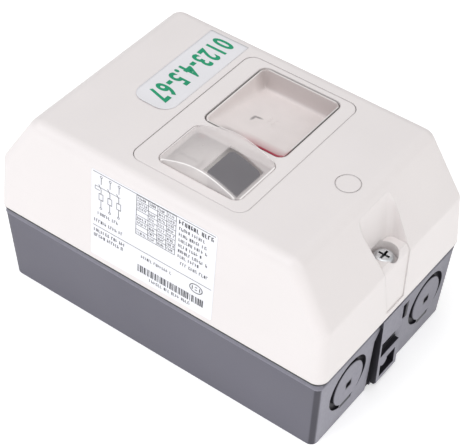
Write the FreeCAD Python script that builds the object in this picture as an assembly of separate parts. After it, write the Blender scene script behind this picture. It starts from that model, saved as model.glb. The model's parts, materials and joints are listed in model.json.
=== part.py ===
import FreeCAD, Part
import math
import os

from FreeCAD import Vector

# Motor protection breaker with two push-buttons, in a closed surface enclosure.
# Millimetres.  X runs along the enclosure, Y across it and Z out of the wall it hangs on.
# The origin is the centre of the back face.

os.makedirs("parts", exist_ok=True)

# ---- enclosure cover ----
COVER_HALF_LENGTH = 73.5
COVER_HALF_WIDTH = 46.5
COVER_EDGE_Z = 37.2
KNEE_HALF_LENGTH = 72.0
KNEE_Z = 59.7
TOP_HALF_LENGTH = 57.2
TOP_HALF_WIDTH = 43.7
TOP_Z = 84.0
CREASE_ROUND = 6.0
KNEE_ROUND = 3.0
OUTLINE_ROUND = 4.6
COVER_WALL = 2.5
CHANNEL_DEPTH = 0.45
CHANNEL_HALF_WIDTHS = (5.5, 8.2)
CHANNEL_Z = (39.6, 60.5)

# ---- enclosure base ----
FLOOR_HALF_LENGTH = 70.8
FLOOR_HALF_WIDTH = 43.25
SHOULDER_HALF_LENGTH = 72.4
SHOULDER_HALF_WIDTH = 45.4
SHOULDER_Z = 33.0
LEDGE_TOP_Z = 35.2
LEDGE = 1.2
RIM_Z = 36.0
BASE_CORNER = 3.0
FLOOR_Z = 2.5
CAVITY_FLOOR_HALF = (68.2, 40.7)
LIP_INNER_HALF = (68.4, 41.4)
LIP_OUTER_HALF = (69.9, 42.9)
LIP_TOP_Z = 39.5
KNOCKOUT_YS = (-25.0, 27.2)
KNOCKOUT_Z = 19.2
KNOCKOUT_R = 11.5
KNOCKOUT_GROOVE = 2.3
KNOCKOUT_FLAT = 8.3
KNOCKOUT_FACE_X = 72.1
DIMPLE_DEPTH = 2.0
GROOVE_FLOOR_X = 70.2
WEB_INNER_X = 69.2
END_BLOCK_Y = (-6.9, 6.7)
END_BLOCK_Z = (1.9, 35.9)
FIXING_HALF_X = 60.0
FIXING_HALF_Y = 35.0
FIXING_HOLE_R = 2.6

# ---- cover screws, M4 ----
SCREW_X = 66.2
SCREW_SEAT_Z = 57.5
SCREW_TIP_Z = 16.5
SCREW_R = 1.95
SCREW_HEAD_R = 3.8
SCREW_HEAD_HEIGHT = 2.9
SCREW_COLUMN_R = 5.0
SCREW_SEAT_COLUMN_R = 6.8
SCREW_SEAT_COLUMN_Z = 52.0
COVER_SCREW_HOLE_R = 2.3
BASE_SCREW_HOLE_R = 2.2
NUT_SIDE = 7.0
NUT_HEIGHT = 3.2
NUT_Z = 17.9
NUT_HOLE_R = 2.02
SCREW_SHELF_Z = 62.0

# ---- window frame and the two boots ----
BEZEL = (-18.7, 30.1, -35.3, 36.4)
BEZEL_CORNER = 4.5
BEZEL_BOTTOM_Z = 82.0
START_WINDOW = (-10.4, 25.3, -31.3, -6.9)
STOP_WINDOW = (-11.0, 24.5, -4.4, 34.2)
WINDOW_CORNER = 3.5
GAP = 0.15
FLANGE_Z = 81.0
START_FLANGE = (-17.4, 28.9, -34.3, -5.8)
STOP_FLANGE = (-17.4, 28.9, -5.5, 35.6)
FLANGE_CORNER = 3.5
BOOT_WALL = 0.8
DOME_RISE = 5.0
TRAY_FRONT_Z = 81.5
TRAY_SLOPE = -0.158
TRAY_TAPER = 2.2
TRAY_TAPER_Z = 74.5

# ---- breaker ----
BREAKER_X = (-38.0, 51.0)
BREAKER_Y = (-30.5, 14.5)
BREAKER_REAR_Z = 9.5
HOUSING_SPLIT_Z = 34.0
HOUSING_SHOULDER_Z = 56.0
NOSE_X = (-16.0, 29.0)
NOSE_Z = 75.0
HOUSING_WALL = 2.0
POLE_PITCH = 13.5
BREAKER_MID_Y = (BREAKER_Y[0] + BREAKER_Y[1]) / 2
POLES = [BREAKER_MID_Y - POLE_PITCH, BREAKER_MID_Y, BREAKER_MID_Y + POLE_PITCH]
PARTITIONS = [BREAKER_MID_Y - POLE_PITCH / 2, BREAKER_MID_Y + POLE_PITCH / 2]
RAIL_MID_X = 6.5
RAIL_HALF = 17.5
RAIL_Z = (8.5, 9.5)
LATCH_MID_Y = -8.0
LATCH_HALF_WIDTH = 3.7
LINE_TERMINAL_X = -32.0
LOAD_TERMINAL_X = 45.0

# ---- buttons and what they work ----
BUTTON_STEM_X = 19.0
BUTTON_SPRING_X = 13.0
START_MID_Y = -21.6
STOP_STEM_Y = 0.0
STOP_SPRING_Y = 4.0
LEVER_AXIS_Y = -8.7
LEVER_AXIS_Z = 54.0
LEVER_REST_DEG = -8.9
LEVER_HALF_THICK = 1.5
FRAME_PLATE_Z = 45.0
FRAME_SHEET = 1.2
TRIP_BAR_X = 16.0
TRIP_BAR_Z = 39.0
TEST_SPRING_SEAT_Z = 67.6
TEST_FLANGE_Z = 71.2
DIAL_CENTRE = (-6.5, -17.0)
TEST_BUTTON_CENTRE = (-11.0, -3.0)
CONTACT_Z = 31.2
CONTACT_GAP = 3.05
COIL_X = 6.0
PLUNGER_TOP_Z = 29.5
YOKE_TOP_Z = 33.0


# ---------------------------------------------------------------- helpers

def save(node, *shapes):
    """One file for one named piece; a group of identical pieces is several solids."""
    shape = shapes[0] if len(shapes) == 1 else Part.makeCompound(list(shapes))
    shape.exportStep("parts/" + node + ".step")


def box(x0, x1, y0, y1, z0, z1):
    low = Vector(min(x0, x1), min(y0, y1), min(z0, z1))
    return Part.makeBox(abs(x1 - x0), abs(y1 - y0), abs(z1 - z0), low)


def post(r, x, y, z0, z1):
    return Part.makeCylinder(r, z1 - z0, Vector(x, y, z0))


def rod_x(r, x0, x1, y, z):
    return Part.makeCylinder(r, abs(x1 - x0), Vector(min(x0, x1), y, z), Vector(1, 0, 0))


def rod_y(r, y0, y1, x, z):
    return Part.makeCylinder(r, abs(y1 - y0), Vector(x, min(y0, y1), z), Vector(0, 1, 0))


def rounded_wire(points, radii):
    """A closed flat outline whose corners are tangent arcs of the given radii."""
    count = len(points)
    starts = []
    arcs = []
    ends = []
    for i, corner in enumerate(points):
        back = (points[i - 1] - corner).normalize()
        ahead = (points[(i + 1) % count] - corner).normalize()
        half_turn = back.getAngle(ahead) / 2
        reach = radii[i] / math.tan(half_turn)
        middle = (back + ahead).normalize()
        depth = radii[i] / math.sin(half_turn) - radii[i]
        first = corner + back * reach
        last = corner + ahead * reach
        starts.append(first)
        ends.append(last)
        if radii[i] > 0:
            arcs.append(Part.Arc(first, corner + middle * depth, last).toShape())
        else:
            arcs.append(None)
    edges = []
    for i in range(count):
        if arcs[i]:
            edges.append(arcs[i])
        edges.append(Part.LineSegment(ends[i], starts[(i + 1) % count]).toShape())
    return Part.Wire(edges)


def rectangle_wire(x0, x1, y0, y1, corner, z):
    points = [Vector(x0, y0, z), Vector(x1, y0, z), Vector(x1, y1, z), Vector(x0, y1, z)]
    return rounded_wire(points, [corner] * 4)


def rounded_plate(x0, x1, y0, y1, corner, z0, z1):
    wire = rectangle_wire(x0, x1, y0, y1, corner, z0)
    return Part.Face(wire).extrude(Vector(0, 0, z1 - z0))


def centred_loft(low_half, low_z, high_half, high_z, corner):
    low = rectangle_wire(-low_half[0], low_half[0], -low_half[1], low_half[1], corner, low_z)
    high = rectangle_wire(-high_half[0], high_half[0], -high_half[1], high_half[1], corner, high_z)
    return Part.makeLoft([low, high], True, True)


def prism(points, direction):
    """A flat outline of straight edges pushed along a direction."""
    return Part.Face(Part.makePolygon(points + [points[0]])).extrude(direction)


def inset_outline(points, inset):
    """The same anticlockwise outline, each side moved inwards."""
    count = len(points)
    moved = []
    for i in range(count):
        here = points[i]
        before = points[i - 1]
        after = points[(i + 1) % count]
        lines = []
        for a, b in ((before, here), (here, after)):
            length = math.hypot(b[0] - a[0], b[1] - a[1])
            normal = ((b[1] - a[1]) / length, -(b[0] - a[0]) / length)
            lines.append((normal, normal[0] * a[0] + normal[1] * a[1] - inset))
        (n1, d1), (n2, d2) = lines
        det = n1[0] * n2[1] - n1[1] * n2[0]
        moved.append(((d1 * n2[1] - d2 * n1[1]) / det, (n1[0] * d2 - n2[0] * d1) / det))
    return moved


def spring(mean_r, wire_r, x, y, z0, z1, turns):
    """A coil spring standing along Z, wound from round wire."""
    rise = z1 - z0 - 2 * wire_r
    helix = Part.makeHelix(rise / turns, rise, mean_r)
    ring = Part.Wire(Part.makeCircle(wire_r, Vector(mean_r, 0, 0), Vector(0, 1, 0)))
    coil = Part.Wire(helix).makePipeShell([ring], True, True)
    coil.translate(Vector(x, y, z0 + wire_r))
    return coil


def mirrored_in_x(shape):
    return shape.mirror(Vector(0, 0, 0), Vector(1, 0, 0))


def fused(first, *others):
    return first.multiFuse(list(others)).removeSplitter()


# ---------------------------------------------------------------- enclosure

def cover_form(inset):
    """The cover's outside, or the space inside it when inset by the wall."""
    side = [
        (COVER_HALF_LENGTH, COVER_EDGE_Z),
        (KNEE_HALF_LENGTH, KNEE_Z),
        (TOP_HALF_LENGTH, TOP_Z),
        (-TOP_HALF_LENGTH, TOP_Z),
        (-KNEE_HALF_LENGTH, KNEE_Z),
        (-COVER_HALF_LENGTH, COVER_EDGE_Z),
    ]
    end = [
        (COVER_HALF_WIDTH, COVER_EDGE_Z),
        (TOP_HALF_WIDTH, TOP_Z),
        (-TOP_HALF_WIDTH, TOP_Z),
        (-COVER_HALF_WIDTH, COVER_EDGE_Z),
    ]
    side = inset_outline(side, inset)
    end = inset_outline(end, inset)
    radii = [0, KNEE_ROUND, CREASE_ROUND, CREASE_ROUND, KNEE_ROUND, 0]
    reach = COVER_HALF_LENGTH + 10
    side_wire = rounded_wire([Vector(x, -reach, z) for x, z in side], radii)
    length_form = Part.Face(side_wire).extrude(Vector(0, 2 * reach, 0))
    end_points = [Vector(-reach, y, z) for y, z in end]
    width_form = prism(end_points, Vector(2 * reach, 0, 0))
    form = length_form.common(width_form)
    bottom_z = form.BoundBox.ZMin
    outline = []
    for edge in form.Edges:
        on_side = edge.BoundBox.YMin > TOP_HALF_WIDTH - 5 or edge.BoundBox.YMax < 5 - TOP_HALF_WIDTH
        at_bottom = edge.BoundBox.ZMax < bottom_z + 0.1
        if on_side and not at_bottom:
            outline.append(edge)
    return form.makeFillet(max(OUTLINE_ROUND - inset, 1.0), outline)


def screw_scoop(grow):
    """The hollow that a screwdriver reaches the +X cover screw through."""
    half_low = 8.2 + grow
    half_high = 12.3 + grow
    outside_x = COVER_HALF_LENGTH + 12
    low = rectangle_wire(62.7 - grow, outside_x, -half_low, half_low, 3.0 + grow, SCREW_SHELF_Z - grow)
    high = rectangle_wire(58.6 - grow, outside_x, -half_high, half_high, 3.0 + grow, TOP_Z + 2)
    return Part.makeLoft([low, high], True, True)


def end_channel():
    """The shallow channel that widens from the cover's edge up to the screw shelf."""
    low, high = CHANNEL_HALF_WIDTHS
    z0, z1 = CHANNEL_Z
    x = KNEE_HALF_LENGTH - 8
    points = [Vector(x, -low, z0), Vector(x, low, z0), Vector(x, high, z1), Vector(x, high, SCREW_SHELF_Z + 1),
              Vector(x, -high, SCREW_SHELF_Z + 1), Vector(x, -high, z1)]
    return prism(points, Vector(20, 0, 0)).cut(cover_form(CHANNEL_DEPTH))


def cover_shell():
    outer = cover_form(0)
    skirt = box(-90, 90, -60, 60, COVER_EDGE_Z - 5, COVER_EDGE_Z)
    inner = cover_form(COVER_WALL)
    inner_floor = centred_loft(
        (COVER_HALF_LENGTH - COVER_WALL, COVER_HALF_WIDTH - COVER_WALL), COVER_EDGE_Z - 1,
        (COVER_HALF_LENGTH - COVER_WALL, COVER_HALF_WIDTH - COVER_WALL), COVER_EDGE_Z + COVER_WALL + 0.1,
        OUTLINE_ROUND - COVER_WALL)
    shell = outer.cut(inner.fuse(inner_floor))

    x0, x1, y0, y1 = BEZEL
    pad = rounded_plate(x0 - 3, x1 + 3, y0 - 3, y1 + 3, 6, FLANGE_Z - 2, TOP_Z - 1)
    shell = shell.fuse(pad)

    additions = []
    hollows = []
    for place in (lambda shape: shape, mirrored_in_x):
        column = post(SCREW_COLUMN_R, SCREW_X, 0, COVER_EDGE_Z, SCREW_SHELF_Z)
        seat = post(SCREW_SEAT_COLUMN_R, SCREW_X, 0, SCREW_SEAT_COLUMN_Z, SCREW_SHELF_Z).common(outer)
        walls = screw_scoop(2.0).common(outer)
        additions += [place(column), place(seat), place(walls)]
        hollows += [place(screw_scoop(0)), place(end_channel())]
        hollows.append(place(post(5.0, SCREW_X, 0, SCREW_SEAT_Z, SCREW_SHELF_Z + 1)))
        hollows.append(place(post(COVER_SCREW_HOLE_R, SCREW_X, 0, COVER_EDGE_Z - 1, SCREW_SEAT_Z + 1)))
    shell = shell.multiFuse(additions)

    rebate = rounded_plate(x0 - GAP, x1 + GAP, y0 - GAP, y1 + GAP, BEZEL_CORNER, FLANGE_Z, TOP_Z + 1)
    opening = rounded_plate(x0 + 4, x1 - 4, y0 + 3, y1 - 1.6, 3, FLANGE_Z - 5, FLANGE_Z + 1)
    circle_mark = post(4.7, 49, 0, TOP_Z - 0.3, TOP_Z + 1).cut(post(4.35, 49, 0, TOP_Z - 1, TOP_Z + 2))
    hollows += [rebate, opening, circle_mark, skirt]
    return shell.cut(Part.makeCompound(hollows)).removeSplitter()


def knockout(y):
    """A break-out disc with one flat side: its raised face, and the grooves that leave a thin web."""
    disc_r = KNOCKOUT_R - KNOCKOUT_GROOVE
    flat_z = KNOCKOUT_Z - KNOCKOUT_FLAT
    below_flat = box(60, 80, y - 20, y + 20, flat_z - 20, flat_z)
    disc = rod_x(disc_r, GROOVE_FLOOR_X - 0.5, KNOCKOUT_FACE_X, y, KNOCKOUT_Z).cut(below_flat)
    disc = disc.makeFillet(0.4, [e for e in disc.Edges if e.BoundBox.XMin > KNOCKOUT_FACE_X - 0.1])
    bridge = box(59, 81, y - 3.4, y + 3.1, flat_z - 20, flat_z)
    outer_pocket = rod_x(KNOCKOUT_R, GROOVE_FLOOR_X, 80, y, KNOCKOUT_Z).cut(bridge)
    inner_ring = rod_x(KNOCKOUT_R, 60, WEB_INNER_X, y, KNOCKOUT_Z)
    inner_ring = inner_ring.cut(rod_x(disc_r, 59, WEB_INNER_X + 1, y, KNOCKOUT_Z)).cut(bridge)
    flat_gap = box(GROOVE_FLOOR_X, 80, y - 3.0, y + 4.2, flat_z - 1.2, flat_z)
    cuts = [outer_pocket, inner_ring, flat_gap]
    dimple_x = KNOCKOUT_FACE_X - DIMPLE_DEPTH
    dimple = box(dimple_x, 80, y - 0.6, y + 0.6, KNOCKOUT_Z - 1.6, KNOCKOUT_Z + 0.6)
    for side in (-0.6, 0.6):
        dimple = dimple.fuse(rod_x(1.1, dimple_x, 80, y + side, KNOCKOUT_Z - 0.5))
    return disc, cuts, dimple.removeSplitter()


def end_block():
    """The block under the cover screw, chamfered at its foot, with the nut's slot in its face."""
    y0, y1 = END_BLOCK_Y
    z0, z1 = END_BLOCK_Z
    x = COVER_HALF_LENGTH
    side = [(67, z0), (x - 0.9, z0), (x, z0 + 1.1), (x, z1), (67, z1)]
    points = [Vector(px, y0, pz) for px, pz in side]
    block = prism(points, Vector(0, y1 - y0, 0))
    block = block.cut(box(x - 1.6, x + 1, -5.9, y1 + 1, 16.2, 23.4))
    block = block.cut(box(x - 3.0, x + 1, -5.3, y1 + 1, 16.8, 21.3))
    lower_pocket = box(x - 2.4, x + 1, -5.2, 4.7, 5.1, 12.9)
    lug = rod_x(2.1, x - 3, x + 2, -3.1, 12.3).fuse(box(x - 3, x + 2, -5.3, -3.1, 11.2, 14))
    return block.cut(lower_pocket.cut(lug))


def end_face_details():
    """What is added to the base's +X end wall before it is cut, what is cut from it, and what comes last."""
    outside_x = COVER_HALF_LENGTH + 3
    y0, y1 = END_BLOCK_Y
    cuts = []
    discs = []
    dimples = []
    for y in KNOCKOUT_YS:
        disc, grooves, dimple = knockout(y)
        discs.append(disc)
        cuts += grooves
        dimples.append(dimple)
    channel = [Vector(GROOVE_FLOOR_X, y0, -1), Vector(GROOVE_FLOOR_X, y0, 31.5),
               Vector(GROOVE_FLOOR_X, y0 - 2.8, 27.5), Vector(GROOVE_FLOOR_X, y0 - 2.8, -1)]
    cuts.append(prism(channel, Vector(outside_x - GROOVE_FLOOR_X, 0, 0)))
    cuts.append(box(GROOVE_FLOOR_X - 1, outside_x, y1, y1 + 5.0, 22.3, 30.3))
    late_cuts = dimples
    late_cuts.append(box(SCREW_X - NUT_SIDE / 2 - 0.3, outside_x, -NUT_SIDE / 2 - 0.2, NUT_SIDE / 2 + 0.2,
                         NUT_Z - 0.2, NUT_Z + NUT_HEIGHT + 0.2))
    late_cuts.append(post(BASE_SCREW_HOLE_R, SCREW_X, 0, 12, RIM_Z + 5))
    boss = post(SCREW_COLUMN_R, SCREW_X, 0, FLOOR_Z - 1, COVER_EDGE_Z - 0.4)
    return cuts, discs + [end_block(), boss], late_cuts


def base_box():
    low = (FLOOR_HALF_LENGTH, FLOOR_HALF_WIDTH)
    shoulder = (SHOULDER_HALF_LENGTH, SHOULDER_HALF_WIDTH)
    rim = (SHOULDER_HALF_LENGTH - LEDGE, SHOULDER_HALF_WIDTH - LEDGE)
    wall = centred_loft(low, 0, shoulder, SHOULDER_Z, BASE_CORNER)
    ledge = centred_loft(shoulder, SHOULDER_Z, rim, LEDGE_TOP_Z, BASE_CORNER - 0.5)
    top_rim = centred_loft(rim, LEDGE_TOP_Z, rim, RIM_Z, BASE_CORNER - 0.5)
    lip = centred_loft(LIP_OUTER_HALF, RIM_Z, LIP_OUTER_HALF, LIP_TOP_Z, 2.5)
    body = fused(wall, ledge, top_rim, lip)
    body = body.cut(centred_loft(CAVITY_FLOOR_HALF, FLOOR_Z, LIP_INNER_HALF, LIP_TOP_Z + 1, 1.5))
    for side in (-1, 1):
        body = body.cut(box(side * 60, side * 80, -8, 8, RIM_Z, LIP_TOP_Z + 1))

    end_cuts, adds, cuts = end_face_details()
    body = body.cut(Part.makeCompound(end_cuts)).cut(Part.makeCompound([mirrored_in_x(c) for c in end_cuts]))
    adds += [mirrored_in_x(shape) for shape in adds]
    cuts += [mirrored_in_x(shape) for shape in cuts]

    for side in (-1, 1):
        web_x = RAIL_MID_X + side * RAIL_HALF
        adds.append(box(web_x - side * 2, web_x, -28, 12, FLOOR_Z - 1, RAIL_Z[1]))
        adds.append(box(web_x - side * 2, web_x + side * 2.5, -28, 12, *RAIL_Z))
        for x in (-FIXING_HALF_X, FIXING_HALF_X):
            adds.append(post(5.0, x, side * FIXING_HALF_Y, FLOOR_Z - 1, FLOOR_Z + 1))
            cuts.append(post(FIXING_HOLE_R, x, side * FIXING_HALF_Y, -1, FLOOR_Z + 2))
    adds.append(box(-42, -22, 25, 35, FLOOR_Z - 1, FLOOR_Z + 1.5))
    return body.multiFuse(adds).cut(Part.makeCompound(cuts)).removeSplitter()


def cover_gasket():
    outer = rounded_plate(-73.1, 73.1, -46.1, 46.1, 4.2, RIM_Z, COVER_EDGE_Z)
    inner = rounded_plate(-70.4, 70.4, -43.4, 43.4, 2.0, RIM_Z - 1, COVER_EDGE_Z + 1)
    ring = outer.cut(inner)
    for side in (-1, 1):
        ring = ring.cut(post(SCREW_COLUMN_R + 0.1, side * SCREW_X, 0, RIM_Z - 1, COVER_EDGE_Z + 1))
    return ring


def cover_screw():
    """Pan head M4 screw with a cross recess, at the origin of X."""
    head = post(SCREW_HEAD_R, 0, 0, SCREW_SEAT_Z, SCREW_SEAT_Z + SCREW_HEAD_HEIGHT)
    head = head.makeFillet(1.4, [e for e in head.Edges if e.BoundBox.ZMin > SCREW_SEAT_Z + 1])
    top_z = SCREW_SEAT_Z + SCREW_HEAD_HEIGHT
    cross = fused(box(-2.2, 2.2, -0.45, 0.45, top_z - 1.7, top_z + 1),
                  box(-0.45, 0.45, -2.2, 2.2, top_z - 1.7, top_z + 1))
    shank = post(SCREW_R, 0, 0, SCREW_TIP_Z, SCREW_SEAT_Z)
    return fused(head, shank).cut(cross)


def square_nut(x):
    half = NUT_SIDE / 2
    nut = box(x - half, x + half, -half, half, NUT_Z, NUT_Z + NUT_HEIGHT)
    return nut.cut(post(NUT_HOLE_R, x, 0, NUT_Z - 1, NUT_Z + NUT_HEIGHT + 1))


def window_bezel():
    plate = rounded_plate(*BEZEL, BEZEL_CORNER, BEZEL_BOTTOM_Z, TOP_Z)
    top_edges = [e for e in plate.Edges if e.BoundBox.ZMin > TOP_Z - 0.1]
    plate = plate.makeFillet(0.4, top_edges)
    for window in (START_WINDOW, STOP_WINDOW):
        plate = plate.cut(rounded_plate(*window, WINDOW_CORNER, BEZEL_BOTTOM_Z - 1, TOP_Z + 1))
    return plate


def inner_rectangle(window, inset):
    x0, x1, y0, y1 = window
    return x0 + inset, x1 - inset, y0 + inset, y1 - inset


def start_boot():
    """Domed clear boot: a flange, a short wall through the window and an arched top."""
    x0, x1, y0, y1 = inner_rectangle(START_WINDOW, GAP)
    half_chord = (x1 - x0) / 2
    mid_x = (x0 + x1) / 2
    arch_r = (half_chord ** 2 + DOME_RISE ** 2) / (2 * DOME_RISE)
    arch_z = TOP_Z + DOME_RISE - arch_r
    flange = rounded_plate(*START_FLANGE, FLANGE_CORNER, FLANGE_Z, BEZEL_BOTTOM_Z)
    wall = rounded_plate(x0, x1, y0, y1, WINDOW_CORNER - GAP, FLANGE_Z, TOP_Z)
    arch = rod_y(arch_r, y0, y1, mid_x, arch_z).common(box(x0 - 5, x1 + 5, y0, y1, TOP_Z, TOP_Z + 10))
    t = BOOT_WALL
    hollow = rounded_plate(x0 + t, x1 - t, y0 + t, y1 - t, WINDOW_CORNER - t, FLANGE_Z - 1, TOP_Z)
    dome_hollow = rod_y(arch_r - t, y0 + t, y1 - t, mid_x, arch_z)
    dome_hollow = dome_hollow.common(box(x0 + t, x1 - t, y0, y1, TOP_Z - 0.5, TOP_Z + 10))
    return fused(flange, wall, arch).cut(fused(hollow, dome_hollow))


def tray_floor_z(y):
    return TRAY_FRONT_Z + TRAY_SLOPE * (y + 1.0)


def above_tray_plane(drop):
    """Everything above the tray's sloping floor, lowered by a drop."""
    points = [Vector(-40, -20, tray_floor_z(-20) - drop), Vector(-40, 50, tray_floor_z(50) - drop),
              Vector(-40, 50, 95), Vector(-40, -20, 95)]
    return prism(points, Vector(90, 0, 0))


def tray_space(inset, top_z):
    high = rectangle_wire(*inner_rectangle(STOP_WINDOW, GAP + inset), WINDOW_CORNER - inset, top_z)
    low = rectangle_wire(*inner_rectangle(STOP_WINDOW, TRAY_TAPER + inset), WINDOW_CORNER - inset, TRAY_TAPER_Z)
    return Part.makeLoft([high, low], True, True)


def stop_boot():
    """Sunk frosted boot: a tapered tray with a sloping floor, hung from a flange."""
    flange = rounded_plate(*STOP_FLANGE, FLANGE_CORNER, FLANGE_Z, BEZEL_BOTTOM_Z)
    x0, x1, y0, y1 = inner_rectangle(STOP_WINDOW, GAP)
    rim = rounded_plate(x0, x1, y0, y1, WINDOW_CORNER - GAP, FLANGE_Z, BEZEL_BOTTOM_Z + 0.8)
    outside = tray_space(0, BEZEL_BOTTOM_Z).common(above_tray_plane(BOOT_WALL))
    hollow = tray_space(BOOT_WALL, BEZEL_BOTTOM_Z + 2).common(above_tray_plane(0))
    return fused(flange, rim, outside).cut(hollow)


def rating_label():
    """Thin printed foil lying on the drafted -Y wall of the cover."""
    thickness = 0.15
    lean = (COVER_HALF_WIDTH - TOP_HALF_WIDTH) / (TOP_Z - COVER_EDGE_Z)

    def wall_y(z):
        return -COVER_HALF_WIDTH + (z - COVER_EDGE_Z) * lean

    z0 = 39.5
    z1 = 79.0
    points = [Vector(-28.0, wall_y(z0), z0), Vector(-28.0, wall_y(z1), z1),
              Vector(-28.0, wall_y(z1) - thickness, z1), Vector(-28.0, wall_y(z0) - thickness, z0)]
    return prism(points, Vector(54.7, 0, 0))


def size_sticker():
    """White paper sticker beside the window frame, with one round end."""
    straight = box(-39.0, -21.6, -4.0, 38.9, TOP_Z, TOP_Z + 0.2)
    round_end = rounded_plate(-39.0, -21.6, -10.0, 5.0, 5.5, TOP_Z, TOP_Z + 0.2)
    return fused(straight, round_end)


def earth_terminal():
    block = box(-40, -24, 26, 34, FLOOR_Z + 1.5, FLOOR_Z + 11.5)
    for x in (-36, -28):
        block = block.cut(rod_y(2.2, 20, 40, x, FLOOR_Z + 5.5))
        block = block.cut(post(1.7, x, 30, FLOOR_Z + 5.5, FLOOR_Z + 13))
    return block


def slotted_screw(x, y, z_seat, head_r, head_height, shank_r, z_tip):
    head = post(head_r, x, y, z_seat, z_seat + head_height)
    slot = box(x - head_r - 1, x + head_r + 1, y - 0.4, y + 0.4, z_seat + head_height - 1.0, z_seat + 10)
    return fused(head, post(shank_r, x, y, z_tip, z_seat)).cut(slot)


# ---------------------------------------------------------------- breaker

def breaker_rear_housing():
    """Rear half: pole chambers, rail channel and fixed rail hook."""
    x0, x1 = BREAKER_X
    y0, y1 = BREAKER_Y
    w = HOUSING_WALL
    body = box(x0, x1, y0, y1, BREAKER_REAR_Z, HOUSING_SPLIT_Z)
    body = body.cut(box(x0 + w, x1 - w, y0 + w, y1 - w, BREAKER_REAR_Z + w, HOUSING_SPLIT_Z + 1))
    adds = []
    for y in PARTITIONS:
        adds.append(box(x0 + 1, x1 - 1, y - 0.6, y + 0.6, BREAKER_REAR_Z + 1, HOUSING_SPLIT_Z - 1))
    rail_edge = RAIL_MID_X - RAIL_HALF - 2.5
    adds.append(box(rail_edge - 3.0, rail_edge - 0.4, -20, 4, 6.4, BREAKER_REAR_Z + 1))
    adds.append(box(rail_edge - 3.0, rail_edge + 1.6, -20, 4, 6.4, RAIL_Z[0] - 0.2))
    guide_x = RAIL_MID_X + RAIL_HALF + 9.5
    for y, flange_y in ((-14.2, -10.6), (-1.8, -5.4)):
        inner_y = LATCH_MID_Y + math.copysign(LATCH_HALF_WIDTH + 0.3, y - LATCH_MID_Y)
        adds.append(box(guide_x, guide_x + 13, y, inner_y, 5.0, BREAKER_REAR_Z + 1))
        adds.append(box(guide_x, guide_x + 13, y, flange_y, 5.0, 6.1))
    adds.append(box(guide_x + 11.0, guide_x + 12.2, -9.6, -6.4, 6.4, BREAKER_REAR_Z + 1))
    screw_holes = [post(1.25, x, y, BREAKER_REAR_Z + 6, HOUSING_SPLIT_Z + 1) for x, y in housing_screw_places()]
    for x, y in housing_screw_places():
        adds.append(box(x - 2.4, x + 2.4, y - 2.4, y + 2.4, BREAKER_REAR_Z + 1, HOUSING_SPLIT_Z))
    return body.multiFuse(adds).cut(Part.makeCompound(screw_holes)).removeSplitter()


def housing_screw_places():
    """Four corner screws that hold the two housings together."""
    return [(x, y) for x in (BREAKER_X[0] + 12.6, BREAKER_X[1] - 12.6)
            for y in (BREAKER_Y[0] + 3.0, BREAKER_Y[1] - 3.0)]


def breaker_front_housing():
    """Front half: terminal shoulders, 45 mm nose and the openings in its face."""
    x0, x1 = BREAKER_X
    y0, y1 = BREAKER_Y
    w = HOUSING_WALL
    shoulders = box(x0, x1, y0, y1, HOUSING_SPLIT_Z, HOUSING_SHOULDER_Z)
    nose = box(*NOSE_X, y0, y1, HOUSING_SHOULDER_Z - 1, NOSE_Z)
    body = fused(shoulders, nose)
    top_edges = [e for e in body.Edges if e.BoundBox.ZMin > HOUSING_SHOULDER_Z - 0.5]
    body = body.makeFillet(0.8, top_edges)
    cavity = box(x0 + w, x1 - w, y0 + w, y1 - w, HOUSING_SPLIT_Z - 1, HOUSING_SHOULDER_Z - w)
    nose_cavity = box(NOSE_X[0] + w, NOSE_X[1] - w, y0 + w, y1 - w, HOUSING_SHOULDER_Z - w - 1, NOSE_Z - w)
    body = body.cut(cavity.fuse(nose_cavity))
    adds = []
    for x, y in housing_screw_places():
        adds.append(box(x - 2.4, x + 2.4, y - 2.4, y + 2.4, HOUSING_SPLIT_Z, HOUSING_SHOULDER_Z - 1))
    socket = post(4.2, *TEST_BUTTON_CENTRE, TEST_SPRING_SEAT_Z - 1.2, NOSE_Z - w)
    adds.append(socket.cut(post(2.9, *TEST_BUTTON_CENTRE, TEST_SPRING_SEAT_Z, NOSE_Z - w + 1)))
    body = body.multiFuse(adds)

    cuts = [box(9.5, 22.5, -27.5, -15.5, 70, 80), box(8.5, 21.5, -2.5, 10.5, 70, 80)]
    cuts.append(post(3.1, *DIAL_CENTRE, 70, 80))
    cuts.append(post(1.6, *TEST_BUTTON_CENTRE, 60, 80))
    for x, y in housing_screw_places():
        cuts.append(post(2.1, x, y, HOUSING_SHOULDER_Z - 3, 80))
        cuts.append(post(1.35, x, y, HOUSING_SPLIT_Z - 1, 80))
    for y in POLES:
        for x, wall_x in ((LINE_TERMINAL_X, x0), (LOAD_TERMINAL_X, x1)):
            cuts.append(post(3.6, x, y, 50, 60))
            cuts.append(box(wall_x - 3, wall_x + 3, y - 3.8, y + 3.8, 37.5, 46.5))
    cuts.append(rod_y(1.25, y0 + 0.7, y0 + w + 0.1, TRIP_BAR_X, TRIP_BAR_Z))
    cuts.append(rod_y(1.25, y1 - w - 0.1, y1 - 0.7, TRIP_BAR_X, TRIP_BAR_Z))
    return body.cut(Part.makeCompound(cuts)).removeSplitter()


def housing_screw(x, y):
    return slotted_screw(x, y, HOUSING_SHOULDER_Z - 3, 2.0, 1.6, 1.25, BREAKER_REAR_Z + 8)


def rail_latch():
    """Spring-loaded slide under the rear housing that grips the rail."""
    tip_x = RAIL_MID_X + RAIL_HALF + 1.0
    y0 = LATCH_MID_Y - LATCH_HALF_WIDTH
    y1 = LATCH_MID_Y + LATCH_HALF_WIDTH
    tongue = box(tip_x, 52.5, y0, y1, 6.4, RAIL_Z[0] - 0.3)
    handle = box(50.5, 53.5, y0, y1, 3.4, RAIL_Z[0] - 0.3)
    slot = box(tip_x + 9, tip_x + 21, -10, -6, 5, 12)
    return fused(tongue, handle).cut(slot)


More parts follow.
